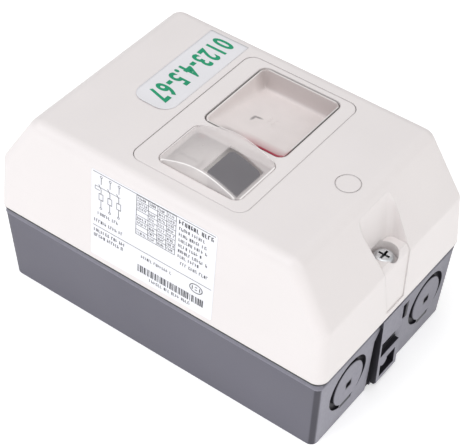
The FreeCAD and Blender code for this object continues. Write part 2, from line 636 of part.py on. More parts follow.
def rail_latch_spring():
    """Flat zigzag spring in the latch's slot."""
    z0 = 6.8
    z1 = 7.8
    x = RAIL_MID_X + RAIL_HALF + 1.0 + 9.0
    legs = []
    for i in range(5):
        legs.append(box(x + i * 2.4, x + i * 2.4 + 0.6, -9.6, -6.4, z0, z1))
    for i in range(4):
        y = -9.6 if i % 2 else -7.0
        legs.append(box(x + i * 2.4, x + i * 2.4 + 3.0, y, y + 0.6, z0, z1))
    return fused(*legs)


def start_button():
    """START: a cap curved like the boot over it, on a neck with a lever stem."""
    cap_x = (9.6, 23.1)
    cap_y = (-29.1, -14.0)
    half_chord = (START_WINDOW[1] - START_WINDOW[0]) / 2 - GAP
    arch_r = (half_chord ** 2 + DOME_RISE ** 2) / (2 * DOME_RISE)
    mid_x = (START_WINDOW[0] + START_WINDOW[1]) / 2
    cap = rounded_plate(*cap_x, *cap_y, 2.0, 79.5, 90)
    dome = rod_y(arch_r - 1.3, -40, 0, mid_x, TOP_Z + DOME_RISE - arch_r)
    cap = cap.common(dome)
    rim = [e for e in cap.Edges if e.BoundBox.ZMin > 82.5]
    cap = cap.makeFillet(0.8, rim)
    neck = box(10, 22, -27, -16, 60, 80)
    stem = post(2.0, BUTTON_STEM_X, START_MID_Y, 58.2, 61)
    button = fused(cap, neck, stem)
    return button.cut(post(2.8, BUTTON_SPRING_X, START_MID_Y, 55, 74))


def stop_button():
    """STOP: a cap whose top follows the sloping boot floor, on a neck with a lever stem."""
    cap = rounded_plate(6.0, 23.0, -2.0, 12.0, 2.0, 75.4, 90)
    cap = cap.cut(above_tray_plane(BOOT_WALL + 0.3))
    rim = [e for e in cap.Edges if e.BoundBox.ZMin > 77.8]
    cap = cap.makeFillet(0.5, rim)
    neck = box(9, 21, -2.0, 10, 60, 76)
    stem = post(2.0, BUTTON_STEM_X, STOP_STEM_Y, 54.9, 61)
    button = fused(cap, neck, stem)
    return button.cut(post(2.8, BUTTON_SPRING_X, STOP_SPRING_Y, 55, 70))


def toggle_lever():
    """Rocker between the two buttons, on a shaft whose finger pushes the contact carrier."""
    z = LEVER_AXIS_Z
    t = LEVER_HALF_THICK
    rocker = box(16.5, 21.5, LEVER_AXIS_Y - 15, LEVER_AXIS_Y + 11, z - t, z + t)
    shaft = rod_x(2.0, -13.0, 26.8, LEVER_AXIS_Y, z)
    finger = box(-13.0, -10.2, LEVER_AXIS_Y - 11.2, LEVER_AXIS_Y, z - t, z + t)
    lever = fused(rocker, shaft, finger)
    lever.rotate(Vector(0, LEVER_AXIS_Y, z), Vector(1, 0, 0), LEVER_REST_DEG)
    return lever


def mechanism_frame():
    """Folded steel frame: a plate over the poles, two bearing cheeks and four feet."""
    t = FRAME_SHEET
    z = FRAME_PLATE_Z
    plate = box(-9, 26, -28, 12, z, z + t)
    parts = [plate]
    for x in (-9, 26 - t):
        parts.append(box(x, x + t, LEVER_AXIS_Y - 5, LEVER_AXIS_Y + 5, z, LEVER_AXIS_Z + 4.5))
        for y in PARTITIONS:
            parts.append(box(x, x + t, y - 0.6, y + 0.6, HOUSING_SPLIT_Z - 1, z + t))
    frame = fused(*parts)
    return frame.cut(rod_x(2.06, -12, 30, LEVER_AXIS_Y, LEVER_AXIS_Z))


def contact_carrier():
    """Moulded carrier with one yoke a pole, a cross beam and a push post."""
    beam = box(-20, -11.5, -27.8, 11.8, 42, 46)
    parts = [beam]
    for y in POLES:
        parts.append(box(-19, -12.5, y - 4.4, y + 4.4, 33.6, 43))
    parts.append(box(-13.0, -11.5, LEVER_AXIS_Y - 11.2, LEVER_AXIS_Y - 8.0, 45, 53.5))
    carrier = fused(*parts)
    for y in POLES:
        carrier = carrier.cut(box(-25, -8, y - 3.2, y + 3.2, 35.0, 41.5))
    return carrier


def contact_bridge(y):
    """Copper strip with a silver tip under each end."""
    tip_z = CONTACT_Z + 1.2 + CONTACT_GAP
    strip = box(-25, -6, y - 2.8, y + 2.8, tip_z + 1.2, tip_z + 2.4)
    tips = [post(2.0, x, y, tip_z, tip_z + 1.2) for x in (-22.5, -8.5)]
    return fused(strip, *tips)


def line_contact(y):
    """Strip from a line clamp down to the fixed contact tip."""
    parts = [
        box(-36, -26.4, y - 3.0, y + 3.0, 43.0, 44.2),
        box(-27.6, -26.4, y - 3.0, y + 3.0, CONTACT_Z - 1.2, 44.2),
        box(-27.6, -20.3, y - 3.0, y + 3.0, CONTACT_Z - 1.2, CONTACT_Z),
        post(2.0, -22.5, y, CONTACT_Z, CONTACT_Z + 1.2),
    ]
    return fused(*parts)


def coil_contact(y):
    """Strip from the second fixed contact tip to the trip coil's lead."""
    parts = [
        box(-10.7, -1.5, y - 3.0, y + 3.0, CONTACT_Z - 1.2, CONTACT_Z),
        box(-2.7, -1.5, y - 3.0, y + 3.0, 14, CONTACT_Z),
        box(-2.7, 0.6, y - 1.5, y + 1.5, 14, 15.2),
        post(2.0, -8.5, y, CONTACT_Z, CONTACT_Z + 1.2),
    ]
    return fused(*parts)


def arc_chute(y):
    """Stack of notched steel splitter plates below the contacts of one pole."""
    plates = []
    for i in range(6):
        z = 13.0 + i * 2.6
        plate = box(-22.6, -7, y - 5.2, y + 5.2, z, z + 0.9)
        plates.append(plate.cut(box(-18, -13, y - 1.5, y + 6, z - 1, z + 2)))
    return plates


def trip_coil(y):
    """Heavy copper winding of the magnetic release: rings joined into one coil."""
    coil = post(5.3, COIL_X, y, 14.0, 29.0)
    grooves = []
    for i in range(5):
        z = 16.4 + i * 2.5
        ring = post(6.0, COIL_X, y, z, z + 0.5)
        grooves.append(ring.cut(post(4.6, COIL_X, y, z - 1, z + 1)))
    bore = post(3.6, COIL_X, y, 13, 30)
    return coil.cut(Part.makeCompound(grooves + [bore]))


def trip_plunger(y):
    """Iron plunger that the coil throws against the trip bar."""
    body = post(3.3, COIL_X, y, 20.0, PLUNGER_TOP_Z)
    pin = post(1.4, COIL_X, y, PLUNGER_TOP_Z, 36.2)
    return fused(body, pin)


def magnet_yoke(y):
    """Steel yoke round a trip coil, with the fixed core below and the spring's seat above."""
    parts = [
        box(1.0, 12.8, y - 4.0, y + 4.0, BREAKER_REAR_Z + HOUSING_WALL, 13.0),
        box(11.6, 12.8, y - 4.0, y + 4.0, 12.0, YOKE_TOP_Z + 1.2),
        box(2.0, 12.8, y - 4.0, y + 4.0, YOKE_TOP_Z, YOKE_TOP_Z + 1.2),
        post(3.0, COIL_X, y, 12.0, 19.7),
    ]
    return fused(*parts).cut(post(1.7, COIL_X, y, YOKE_TOP_Z - 1, YOKE_TOP_Z + 2))


def bimetal_strip(y):
    return box(28.8, 30.0, y - 2.6, y + 2.6, 15.2, 39.0)


def load_strap(y):
    """Strap from a bimetal's foot up to a load clamp."""
    parts = [
        box(28.8, 37.4, y - 3.0, y + 3.0, 14.0, 15.2),
        box(36.2, 37.4, y - 3.0, y + 3.0, 14.0, 44.2),
        box(36.2, 48.5, y - 3.0, y + 3.0, 43.0, 44.2),
    ]
    return fused(*parts)


def trip_bar():
    """Bar across the poles: a paddle over each plunger, a finger by each bimetal."""
    x = TRIP_BAR_X
    z = TRIP_BAR_Z
    parts = [box(x - 1.5, x + 1.5, -28.1, 12.1, z - 1.5, z + 1.5), rod_y(1.2, -29.6, 13.6, x, z)]
    for y in POLES:
        parts.append(box(COIL_X - 2.5, x, y - 2.5, y + 2.5, z - 0.6, z + 0.6))
        parts.append(box(x, 27.4, y - 2.0, y + 2.0, z - 0.6, z + 0.6))
        parts.append(box(26.2, 27.4, y - 2.0, y + 2.0, 34.6, z + 0.6))
    return fused(*parts)


def setting_dial():
    """Slotted current dial in the nose's face."""
    cap = post(5.0, *DIAL_CENTRE, NOSE_Z + 0.3, NOSE_Z + 2.0)
    shaft = post(3.05, *DIAL_CENTRE, 68, NOSE_Z + 1)
    x, y = DIAL_CENTRE
    slot = box(x - 4, x + 4, y - 0.5, y + 0.5, NOSE_Z + 1.1, NOSE_Z + 3)
    return fused(cap, shaft).cut(slot)


def test_button():
    x, y = TEST_BUTTON_CENTRE
    return fused(post(1.5, x, y, 65.5, NOSE_Z + 1.4), post(2.6, x, y, TEST_FLANGE_Z, TEST_FLANGE_Z + 1.4))


def terminal_clamp(x, y):
    """Open steel cage that a screw draws a wire up in."""
    cage = box(x - 4.0, x + 4.0, y - 4.6, y + 4.6, 36.5, 48.0)
    window = box(x - 5.0, x + 5.0, y - 3.6, y + 3.6, 38.0, 46.0)
    return cage.cut(window).cut(post(1.7, x, y, 45, 50))


def terminal_screw(x, y):
    return slotted_screw(x, y, 50.0, 3.3, 2.4, 1.7, 44.2)


# ---------------------------------------------------------------- write the pieces

save("base_box", base_box())
save("cover_shell", cover_shell())
save("cover_gasket", cover_gasket())
save("window_bezel", window_bezel())
save("start_boot", start_boot())
save("stop_boot", stop_boot())
save("rating_label", rating_label())
save("size_sticker", size_sticker())
for screw_name, screw_x in (("cover_screw_left", -SCREW_X), ("cover_screw_right", SCREW_X)):
    screw = cover_screw()
    screw.translate(Vector(screw_x, 0, 0))
    save(screw_name, screw)
save("cover_nuts", square_nut(-SCREW_X), square_nut(SCREW_X))
save("earth_terminal", earth_terminal())
save("earth_terminal_screws",
     *[slotted_screw(x, 30, FLOOR_Z + 12.0, 2.8, 2.0, 1.7, FLOOR_Z + 7.5) for x in (-36, -28)])

save("breaker_rear_housing", breaker_rear_housing())
save("breaker_front_housing", breaker_front_housing())
save("housing_screws", *[housing_screw(x, y) for x, y in housing_screw_places()])
save("rail_latch", rail_latch())
save("rail_latch_spring", rail_latch_spring())
save("start_button", start_button())
save("stop_button", stop_button())
save("start_spring", spring(2.1, 0.35, BUTTON_SPRING_X, START_MID_Y, FRAME_PLATE_Z + FRAME_SHEET, 73.9, 9))
save("stop_spring", spring(2.1, 0.35, BUTTON_SPRING_X, STOP_SPRING_Y, FRAME_PLATE_Z + FRAME_SHEET, 69.9, 8))
save("toggle_lever", toggle_lever())
save("mechanism_frame", mechanism_frame())
save("contact_carrier", contact_carrier())
save("contact_bridges", *[contact_bridge(y) for y in POLES])
bridge_top_z = CONTACT_Z + 1.2 + CONTACT_GAP + 2.4
save("contact_springs", *[spring(1.8, 0.3, -15.75, y, bridge_top_z, 41.5, 4) for y in POLES])
save("opening_springs", *[spring(1.8, 0.3, -15.75, y, HOUSING_SPLIT_Z - 1, 42.0, 5) for y in PARTITIONS])
save("line_contacts", *[line_contact(y) for y in POLES])
save("coil_contacts", *[coil_contact(y) for y in POLES])
save("bimetal_strips", *[bimetal_strip(y) for y in POLES])
save("load_straps", *[load_strap(y) for y in POLES])
for number, pole_y in enumerate(POLES, start=1):
    save("arc_chute_%d" % number, *arc_chute(pole_y))
    save("trip_coil_%d" % number, trip_coil(pole_y))
    save("trip_plunger_%d" % number, trip_plunger(pole_y))
    save("plunger_spring_%d" % number, spring(2.4, 0.35, COIL_X, pole_y, PLUNGER_TOP_Z, YOKE_TOP_Z, 2.5))
save("magnet_yokes", *[magnet_yoke(y) for y in POLES])
save("trip_bar", trip_bar())
save("setting_dial", setting_dial())
save("test_button", test_button())
save("test_spring", spring(2.1, 0.3, *TEST_BUTTON_CENTRE, TEST_SPRING_SEAT_Z, TEST_FLANGE_Z, 3))
save("line_clamps", *[terminal_clamp(LINE_TERMINAL_X, y) for y in POLES])
save("line_screws", *[terminal_screw(LINE_TERMINAL_X, y) for y in POLES])
save("load_clamps", *[terminal_clamp(LOAD_TERMINAL_X, y) for y in POLES])
save("load_screws", *[terminal_screw(LOAD_TERMINAL_X, y) for y in POLES])
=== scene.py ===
"""Motor protection breaker in a closed surface enclosure: looks, floor, lights and camera."""
import json
import math
import random

import bmesh
import bpy
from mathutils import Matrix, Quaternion, Vector


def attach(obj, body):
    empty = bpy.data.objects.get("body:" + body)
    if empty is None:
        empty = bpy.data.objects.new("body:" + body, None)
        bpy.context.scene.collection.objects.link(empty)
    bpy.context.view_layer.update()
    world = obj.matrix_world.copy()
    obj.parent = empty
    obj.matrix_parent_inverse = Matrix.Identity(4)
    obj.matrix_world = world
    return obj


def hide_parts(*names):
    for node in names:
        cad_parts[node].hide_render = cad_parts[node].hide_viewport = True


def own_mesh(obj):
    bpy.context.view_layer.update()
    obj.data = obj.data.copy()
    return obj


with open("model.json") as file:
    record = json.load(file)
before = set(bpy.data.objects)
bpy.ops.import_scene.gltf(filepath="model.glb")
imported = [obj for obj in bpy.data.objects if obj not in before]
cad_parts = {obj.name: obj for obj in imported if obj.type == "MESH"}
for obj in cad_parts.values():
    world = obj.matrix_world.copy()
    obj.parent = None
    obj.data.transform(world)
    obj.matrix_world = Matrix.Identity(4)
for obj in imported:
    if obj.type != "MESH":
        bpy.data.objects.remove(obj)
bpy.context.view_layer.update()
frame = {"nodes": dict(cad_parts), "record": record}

MM = 0.001
random.seed(11)

# ---- the cover's faces, in millimetres ----
COVER_HALF_WIDTH = 46.5
COVER_EDGE_Z = 37.2
TOP_HALF_WIDTH = 43.7
TOP_Z = 84.0
WALL_LEAN = (COVER_HALF_WIDTH - TOP_HALF_WIDTH) / (TOP_Z - COVER_EDGE_Z)

# ---- the two windows and their boots ----
START_WINDOW = (-10.4, 25.3, -31.3, -6.9)
STOP_WINDOW = (-11.0, 24.5, -4.4, 34.2)
WINDOW_CORNER = 3.5
START_GAP = 0.3
STOP_GAP = 0.62
FLANGE_Z = (81.0, 82.0)
FLANGE_CORNER = 3.5
START_FLANGE = (-17.4, 28.9, -34.3, -5.8)
STOP_FLANGE = (-17.4, 28.9, -5.5, 35.6)
BOOT_WALL = 0.6
DOME_RISE = 5.0
DOME_EDGE_ROUND = 0.55
TRAY_FRONT_Z = 81.5
TRAY_SLOPE = -0.158
TRAY_LIP_Z = 83.85
TRAY_FRONT_Y = -1.0
CAP_PATCH = (8.4, 24.3, -30.4, -13.0)
RIDGE_Y = -1.9
RIDGE_X = (8.0, 14.0)
RIDGE_HEIGHT = 0.5
RIDGE_WIDTH = 0.45
FLANGE_OVERLAP = 0.7
SKIN_GAP = 0.05
CORNER_STEPS = 6
SIDE_STEPS = 10

# ---- the lower box's end walls, which lean outwards towards their rim ----
BASE_END_X = 70.8
BASE_END_LEAN = 1.6 / 33.0
BASE_RIM_Z = 33.0
KNOCKOUT_YS = (-25.0, 27.2)
BLOCK_X = 73.5
BLOCK_SLOT = (5.9, 11.2, 22.2, 30.4)
SLOT_MOUTH = (10.9, 13.2, 21.6, 30.3)
BLOCK_POCKETS = ((-6.1, 6.6, 16.0, 23.6), (-5.4, 4.9, 4.9, 13.1))
BLOCK_SIDE_Y = -6.9

# ---- the label on the -Y wall and the sticker on the top ----
LABEL_X = (-28.0, 26.7)
LABEL_Z = (39.5, 79.0)
LABEL_CORNER = 0.8
LABEL_THICK = 0.12
INK_THICK = 0.03
STICKER = (-39.0, -21.6, -10.0, 38.9)
STICKER_THICK = 0.12
STICKER_GAP = 0.02
STICKER_LIFT_Y = -4.0
STICKER_CURL = 0.012
DIGITS_X = (-35.2, -25.6)
DIGITS_Y = (36.5, -5.7)
DIGITS_GAP = 0.035

# ---- the floor ----
FLOOR_HALF = 3000.0
FLOOR_Z = -0.05


# ---------------------------------------------------------------- materials

class Shader:
    """One procedural material: a Principled shader and the few nodes that feed it."""

    def __init__(self, name):
        self.material = bpy.data.materials.new(name)
        self.material.use_nodes = True
        self.tree = self.material.node_tree
        self.tree.nodes.clear()
        out = self.node("OutputMaterial")
        self.bsdf = self.node("BsdfPrincipled")
        self.link(self.bsdf, 0, out, 0)
        self.place = self.node("TexCoord")

    def node(self, kind, **settings):
        made = self.tree.nodes.new("ShaderNode" + kind)
        for key, value in settings.items():
            setattr(made, key, value)
        return made

    def link(self, a, output, b, socket):
        self.tree.links.new(a.outputs[output], b.inputs[socket])

    def set(self, **values):
        for key, value in values.items():
            self.bsdf.inputs[key.replace("_", " ")].default_value = value

    def noise(self, scale, detail=3.0, stretch=None):
        made = self.node("TexNoise")
        made.inputs["Scale"].default_value = scale
        made.inputs["Detail"].default_value = detail
        if stretch:
            mapping = self.node("Mapping")
            mapping.inputs["Scale"].default_value = stretch
            self.link(self.place, "Object", mapping, "Vector")
            self.link(mapping, "Vector", made, "Vector")
        else:
            self.link(self.place, "Object", made, "Vector")
        return made

    def ramp(self, source, output, stops):
        made = self.node("ValToRGB")
        elements = made.color_ramp.elements
        while len(elements) < len(stops):
            elements.new(0.5)
        for element, (where, colour) in zip(elements, stops):
            element.position = where
            element.color = tuple(colour) + (1.0,)
        self.link(source, output, made, "Fac")
        return made

    def scaled(self, source, output, low, high, in_low=0.3, in_high=0.7):
        made = self.node("MapRange")
        made.inputs["From Min"].default_value = in_low
        made.inputs["From Max"].default_value = in_high
        made.inputs["To Min"].default_value = low
        made.inputs["To Max"].default_value = high
        self.link(source, output, made, "Value")
        return made

    def mixed(self, factor, factor_output, first, first_output, second):
        """Mix a colour that comes from a node with a second one: a given colour, or a ramp's."""
        made = self.node("Mix", data_type="RGBA")
        self.link(factor, factor_output, made, 0)
        self.link(first, first_output, made, 6)
        if isinstance(second, tuple):
            made.inputs[7].default_value = second + (1.0,)
        else:
            self.link(second, "Color", made, 7)
        return made

    def calc(self, first, second, operation="ADD"):
        """A Math node on the first outputs of two nodes, or of a node and a number."""
        made = self.node("Math", operation=operation)
        self.link(first, 0, made, 0)
        if isinstance(second, (int, float)):
            made.inputs[1].default_value = second
        else:
            self.link(second, 0, made, 1)
        return made

    def between(self, source, output, low, high, soft):
        """1 between two values of a node's output and 0 outside them, with soft edges."""
        rise = self.scaled(source, output, 0.0, 1.0, low - soft, low + soft)
        fall = self.scaled(source, output, 1.0, 0.0, high - soft, high + soft)
        return self.calc(rise, fall, "MULTIPLY")

    def axes(self):
        made = self.node("SeparateXYZ")
        self.link(self.place, "Object", made, 0)
        return made

    def paint_occlusion_shade(self, tone, output, painted_shade, reach, local, depth=0.9, low=0.45, high=0.92):
        """Painted shade: darken a colour where other surfaces come near, in seams and pockets."""
        near = self.node("AmbientOcclusion", samples=8, only_local=local)
        near.inputs["Distance"].default_value = reach
        return self.mixed(self.scaled(near, "AO", depth, 0.0, low, high), 0, tone, output, painted_shade)

    def edges(self, radius):
        """1 along edges and 0 on flat faces."""
        bevel = self.node("Bevel", samples=6)
        bevel.inputs["Radius"].default_value = radius
        face = self.node("NewGeometry")
        same = self.node("VectorMath", operation="DOT_PRODUCT")
        self.link(bevel, 0, same, 0)
        self.link(face, "Normal", same, 1)
        return self.scaled(same, "Value", 1.0, 0.0, 0.9, 0.995)

    def relief(self, grain, depth, edge=0.0, strength=1.0, stretch=None):
        """Bump from fine noise, over edges that look rounded by a given radius."""
        bump = self.node("Bump")
        bump.inputs["Strength"].default_value = strength
        bump.inputs["Distance"].default_value = depth
        self.link(self.noise(grain, 2.0, stretch), "Fac", bump, "Height")
        if edge:
            bevel = self.node("Bevel", samples=6)
            bevel.inputs["Radius"].default_value = edge
            self.link(bevel, 0, bump, "Normal")
        self.link(bump, 0, self.bsdf, "Normal")


def shade(colour, factor):
    return tuple(min(1.0, c * factor) for c in colour)


def moulded(name, colour, roughness, edge=0.0004, spread=0.04, occlusion_shade=0.45):
    """Moulded plastic: faint clouding, satin grain, softened edges and painted shade in seams."""
    s = Shader(name)
    grain = 2600
    cloud = s.noise(28, 4)
    base = s.ramp(cloud, "Fac", [(0.3, shade(colour, 1 - spread)), (0.7, shade(colour, 1 + spread))])
    speck = s.noise(grain * 0.6, 1)
    mask = s.scaled(speck, "Fac", 0.0, 0.35, 0.56, 0.75)
    tone = s.mixed(mask, 0, base, "Color", shade(colour, 1 - 2.2 * spread))
    # painted shade where other surfaces come near, in seams
    tone = s.paint_occlusion_shade(tone, 2, shade(colour, occlusion_shade), 0.0005, False)
    s.link(tone, 2, s.bsdf, "Base Color")
    s.link(s.scaled(s.noise(55, 3), "Fac", roughness - 0.05, roughness + 0.06), 0, s.bsdf, "Roughness")
    s.relief(grain, 0.00002, edge)
    return s.material


def base_plastic():
    """Grey of the lower box: smooth darker sides; painted light makes the ends and rim paler, in a coarser
    grain; painted shade lies in bands by the corners, on the block's -Y sides, towards +Y on the ends and
    in pockets and grooves; painted highlights run along edges.
    """
    wall = (0.130, 0.126, 0.156)
    # painted light: this paler grey lightens the ends and the rim, and brightened it paints highlights
    # along edges
    pale = (0.27, 0.264, 0.309)
    # painted shade: the colour of the shaded bands by the corners, the block's -Y sides and the far parts
    # of the ends
    painted_shade = (0.055, 0.052, 0.068)
    s = Shader("base_plastic")
    split = s.axes()
    from_end = s.node("Math", operation="ABSOLUTE")
    s.link(split, "X", from_end, 0)
    lean = s.node("Math", operation="MULTIPLY")
    s.link(split, "Z", lean, 0)
    lean.inputs[1].default_value = BASE_END_LEAN
    drafted = s.calc(from_end, lean, "SUBTRACT")
    at_end = s.scaled(drafted, 0, 0.0, 1.0, (BASE_END_X - 0.5) * MM, (BASE_END_X - 0.25) * MM)
    # painted shade in a band on the sides just before each end, by the rounded corners
    corner_shade_band = s.between(drafted, 0, (BASE_END_X - 2.2) * MM, (BASE_END_X - 0.3) * MM, 0.25 * MM)
    at_rim = s.scaled(split, "Z", 0.0, 1.0, (BASE_RIM_Z - 0.15) * MM, (BASE_RIM_Z + 0.1) * MM)

    cloud = s.ramp(s.noise(30, 4), "Fac", [(0.3, shade(wall, 0.94)), (0.7, shade(wall, 1.06))])
    tone = s.mixed(corner_shade_band, 0, cloud, "Color", painted_shade)
    # painted light: the ends and the rim paler, in a coarser mottled grain
    mottle = s.ramp(s.noise(700, 3), "Fac", [(0.3, shade(pale, 0.93)), (0.7, shade(pale, 1.05))])
    painted_lit_coarse_skin = s.calc(at_end, at_rim, "MAXIMUM")
    blend = s.mixed(painted_lit_coarse_skin, 0, tone, 2, mottle)

    # painted shade on the -Y side of the block on each end, below the rim
    block_side_shade = s.between(split, "Y", (BLOCK_SIDE_Y - 0.1) * MM, (BLOCK_SIDE_Y + 0.06) * MM, 0.03 * MM)
    under_rim = s.scaled(split, "Z", 1.0, 0.0, (BASE_RIM_Z - 0.2) * MM, BASE_RIM_Z * MM)
    shaded = s.mixed(s.calc(block_side_shade, under_rim, "MULTIPLY"), 0, blend, 2, painted_shade)
    # painted shade: the ends darker towards +Y
    far_end_shade = s.scaled(split, "Y", 0.0, 0.36, -12 * MM, 42 * MM)
    shaded = s.mixed(s.calc(far_end_shade, at_end, "MULTIPLY"), 0, shaded, 2, painted_shade)
    # painted highlights along edges
    painted_light_and_shade = s.mixed(s.calc(s.edges(0.0004), 0.7, "MULTIPLY"), 0, shaded, 2, shade(pale, 1.5))
    # painted shade in the ends' slots, pockets and grooves, and painted shadow marks on the break-outs
    painted_hollow_shade = (0.016, 0.015, 0.02)
    for mask in painted_shade_masks(s, split, from_end, drafted):
        painted_light_and_shade = s.mixed(mask, 0, painted_light_and_shade, 2, painted_hollow_shade)
    # painted shade where surfaces of the base come near
    tone = s.paint_occlusion_shade(painted_light_and_shade, 2, painted_hollow_shade, 0.0045, True, 0.95, 0.62, 0.95)
    s.link(tone, 2, s.bsdf, "Base Color")
    s.link(s.scaled(s.noise(60, 3), "Fac", 0.42, 0.54), 0, s.bsdf, "Roughness")
    s.relief(1500, 0.00003, 0.0003)
    s.set(Specular_IOR_Level=0.28)
    return s.material


def metal(name, colour, roughness, stretch=(1, 1, 1), occlusion_shade=0.5):
    """Bare or plated metal: drawn or brushed streaks, a little tarnish and painted shade in hollows."""
    s = Shader(name)
    grain = 900
    streak = s.noise(grain, 3, stretch)
    base = s.ramp(streak, "Fac", [(0.3, shade(colour, 0.86)), (0.7, shade(colour, 1.08))])
    cloud = s.scaled(s.noise(140, 4), "Fac", 0.0, 0.25, 0.5, 0.75)
    tone = s.mixed(cloud, 0, base, "Color", shade(colour, 0.55))
    # painted shade in the metal's hollows, where other surfaces come near
    tone = s.paint_occlusion_shade(tone, 2, shade(colour, occlusion_shade), 0.0012, True)
    s.link(tone, 2, s.bsdf, "Base Color")
    s.link(s.scaled(s.noise(grain * 0.7, 2, stretch), "Fac", roughness - 0.07, roughness + 0.1), 0,
           s.bsdf, "Roughness")
    s.relief(grain, 0.00002, 0.0002, 0.6, stretch)
    s.set(Metallic=1.0)
    return s.material


def painted_shade_masks(s, split, from_end, drafted):
    """Masks of painted shade on the base's ends: inside its slots, pockets and grooves, on the mouth of the
    slot beside the end block, and painted shadow marks on its break-outs, under their flats and on their
    dimples.
    """
    face = s.node("NewGeometry")
    facing = s.node("SeparateXYZ")
    s.link(face, "Normal", facing, 0)
    outwards = s.node("Math", operation="MULTIPLY")
    s.link(facing, "X", outwards, 0)
    s.link(split, "X", outwards, 1)
    out = s.scaled(outwards, 0, 0.0, 0.85, 0.06, 0.065)
    groove = s.scaled(drafted, 0, 1.0, 0.0, (BASE_END_X - 0.4) * MM, (BASE_END_X - 0.2) * MM)
    # painted shade on the outward-facing floors of grooves sunk into the ends
    masks = [s.calc(out, groove, "MULTIPLY")]
    under_wall = s.scaled(drafted, 0, 0.95, 0.0, (BASE_END_X - 0.15) * MM, (BASE_END_X - 0.05) * MM)
    under_block = s.scaled(from_end, 0, 0.95, 0.0, (BLOCK_X - 0.2) * MM, (BLOCK_X - 0.1) * MM)
    on_wall = s.scaled(drafted, 0, 0.0, 0.95, (BASE_END_X - 0.5) * MM, (BASE_END_X - 0.3) * MM)
    # painted shade in the slot beside the block, on its mouth on the wall and in the block's pockets
    places = [(BLOCK_SLOT, under_wall, 0.05), (SLOT_MOUTH, on_wall, 0.05)]
    places += [(pocket, under_block, 0.05) for pocket in BLOCK_POCKETS]
    # painted shadow under each break-out's flat and a painted dark dot on its dimple
    for y in KNOCKOUT_YS:
        places.append(((y - 3.1, y + 4.3, 8.5, 11.0), under_wall, 0.05))
        places.append(((y - 3.0, y + 4.3, 7.1, 10.0), on_wall, 0.1))
        places.append(((y - 1.8, y + 1.8, 17.0, 20.4), on_wall, 0.4))
    for (y0, y1, z0, z1), depth, soft in places:
        across = s.between(split, "Y", y0 * MM, y1 * MM, soft * MM)
        upright = s.between(split, "Z", z0 * MM, z1 * MM, soft * MM)
        masks.append(s.calc(s.calc(across, upright, "MULTIPLY"), depth, "MULTIPLY"))
    return masks


def film_edge(s, window, gap, reach):
    """How near a point is to its window's sides: 1 at a side and outside it, 0 further in than reach."""
    split = s.axes()
    x0, x1, y0, y1 = [side * MM for side in window]
    nearest = None
    for axis, low, high in (("X", x0, x1), ("Y", y0, y1)):
        after = s.node("Math", operation="SUBTRACT")
        s.link(split, axis, after, 0)
        after.inputs[1].default_value = low
        before = s.node("Math", operation="SUBTRACT")
        before.inputs[0].default_value = high
        s.link(split, axis, before, 1)
        inside = s.calc(after, before, "MINIMUM")
        nearest = inside if nearest is None else s.calc(nearest, inside, "MINIMUM")
    return s.scaled(nearest, 0, 1.0, 0.0, (gap + reach * 0.5) * MM, (gap + reach) * MM)


def start_boot_plastic():
    """Clear, slightly milky boot: one can see through it, least at its thick rounded edges; a painted
    highlight lines its rim and it has a faint painted glow.
    """
    s = Shader("clear_boot")
    edge = film_edge(s, START_WINDOW, START_GAP, 0.75)
    off_cap = film_edge(s, CAP_PATCH, 0.0, 1.0)
    milk = (0.80, 0.75, 0.745)
    cloud = s.ramp(s.noise(90, 3), "Fac", [(0.3, shade(milk, 0.96)), (0.7, shade(milk, 1.03))])
    tone = s.mixed(edge, 0, cloud, "Color", (0.87, 0.83, 0.82))
    # painted highlight: a light line along the rim, where the film is also less see-through
    outer = film_edge(s, START_WINDOW, START_GAP - 0.1, 0.3)
    rim = s.calc(film_edge(s, START_WINDOW, START_GAP, 0.62), outer, "SUBTRACT")
    tone = s.mixed(rim, 0, tone, 2, (0.96, 0.94, 0.93))
    s.link(tone, 2, s.bsdf, "Base Color")
    film = s.scaled(off_cap, 0, 0.09, 0.37, 0.0, 1.0)
    thick = s.calc(s.calc(edge, 0.06, "MULTIPLY"), s.calc(rim, 0.35, "MULTIPLY"))
    s.link(s.calc(film, thick), 0, s.bsdf, "Alpha")
    s.link(s.scaled(s.noise(200, 2), "Fac", 0.16, 0.24), 0, s.bsdf, "Roughness")
    # painted light: the film glows faintly, though it is no lamp
    s.set(Emission_Color=(1.0, 0.93, 0.92, 1.0), Emission_Strength=0.13)
    s.relief(500, 0.00002)
    return s.material


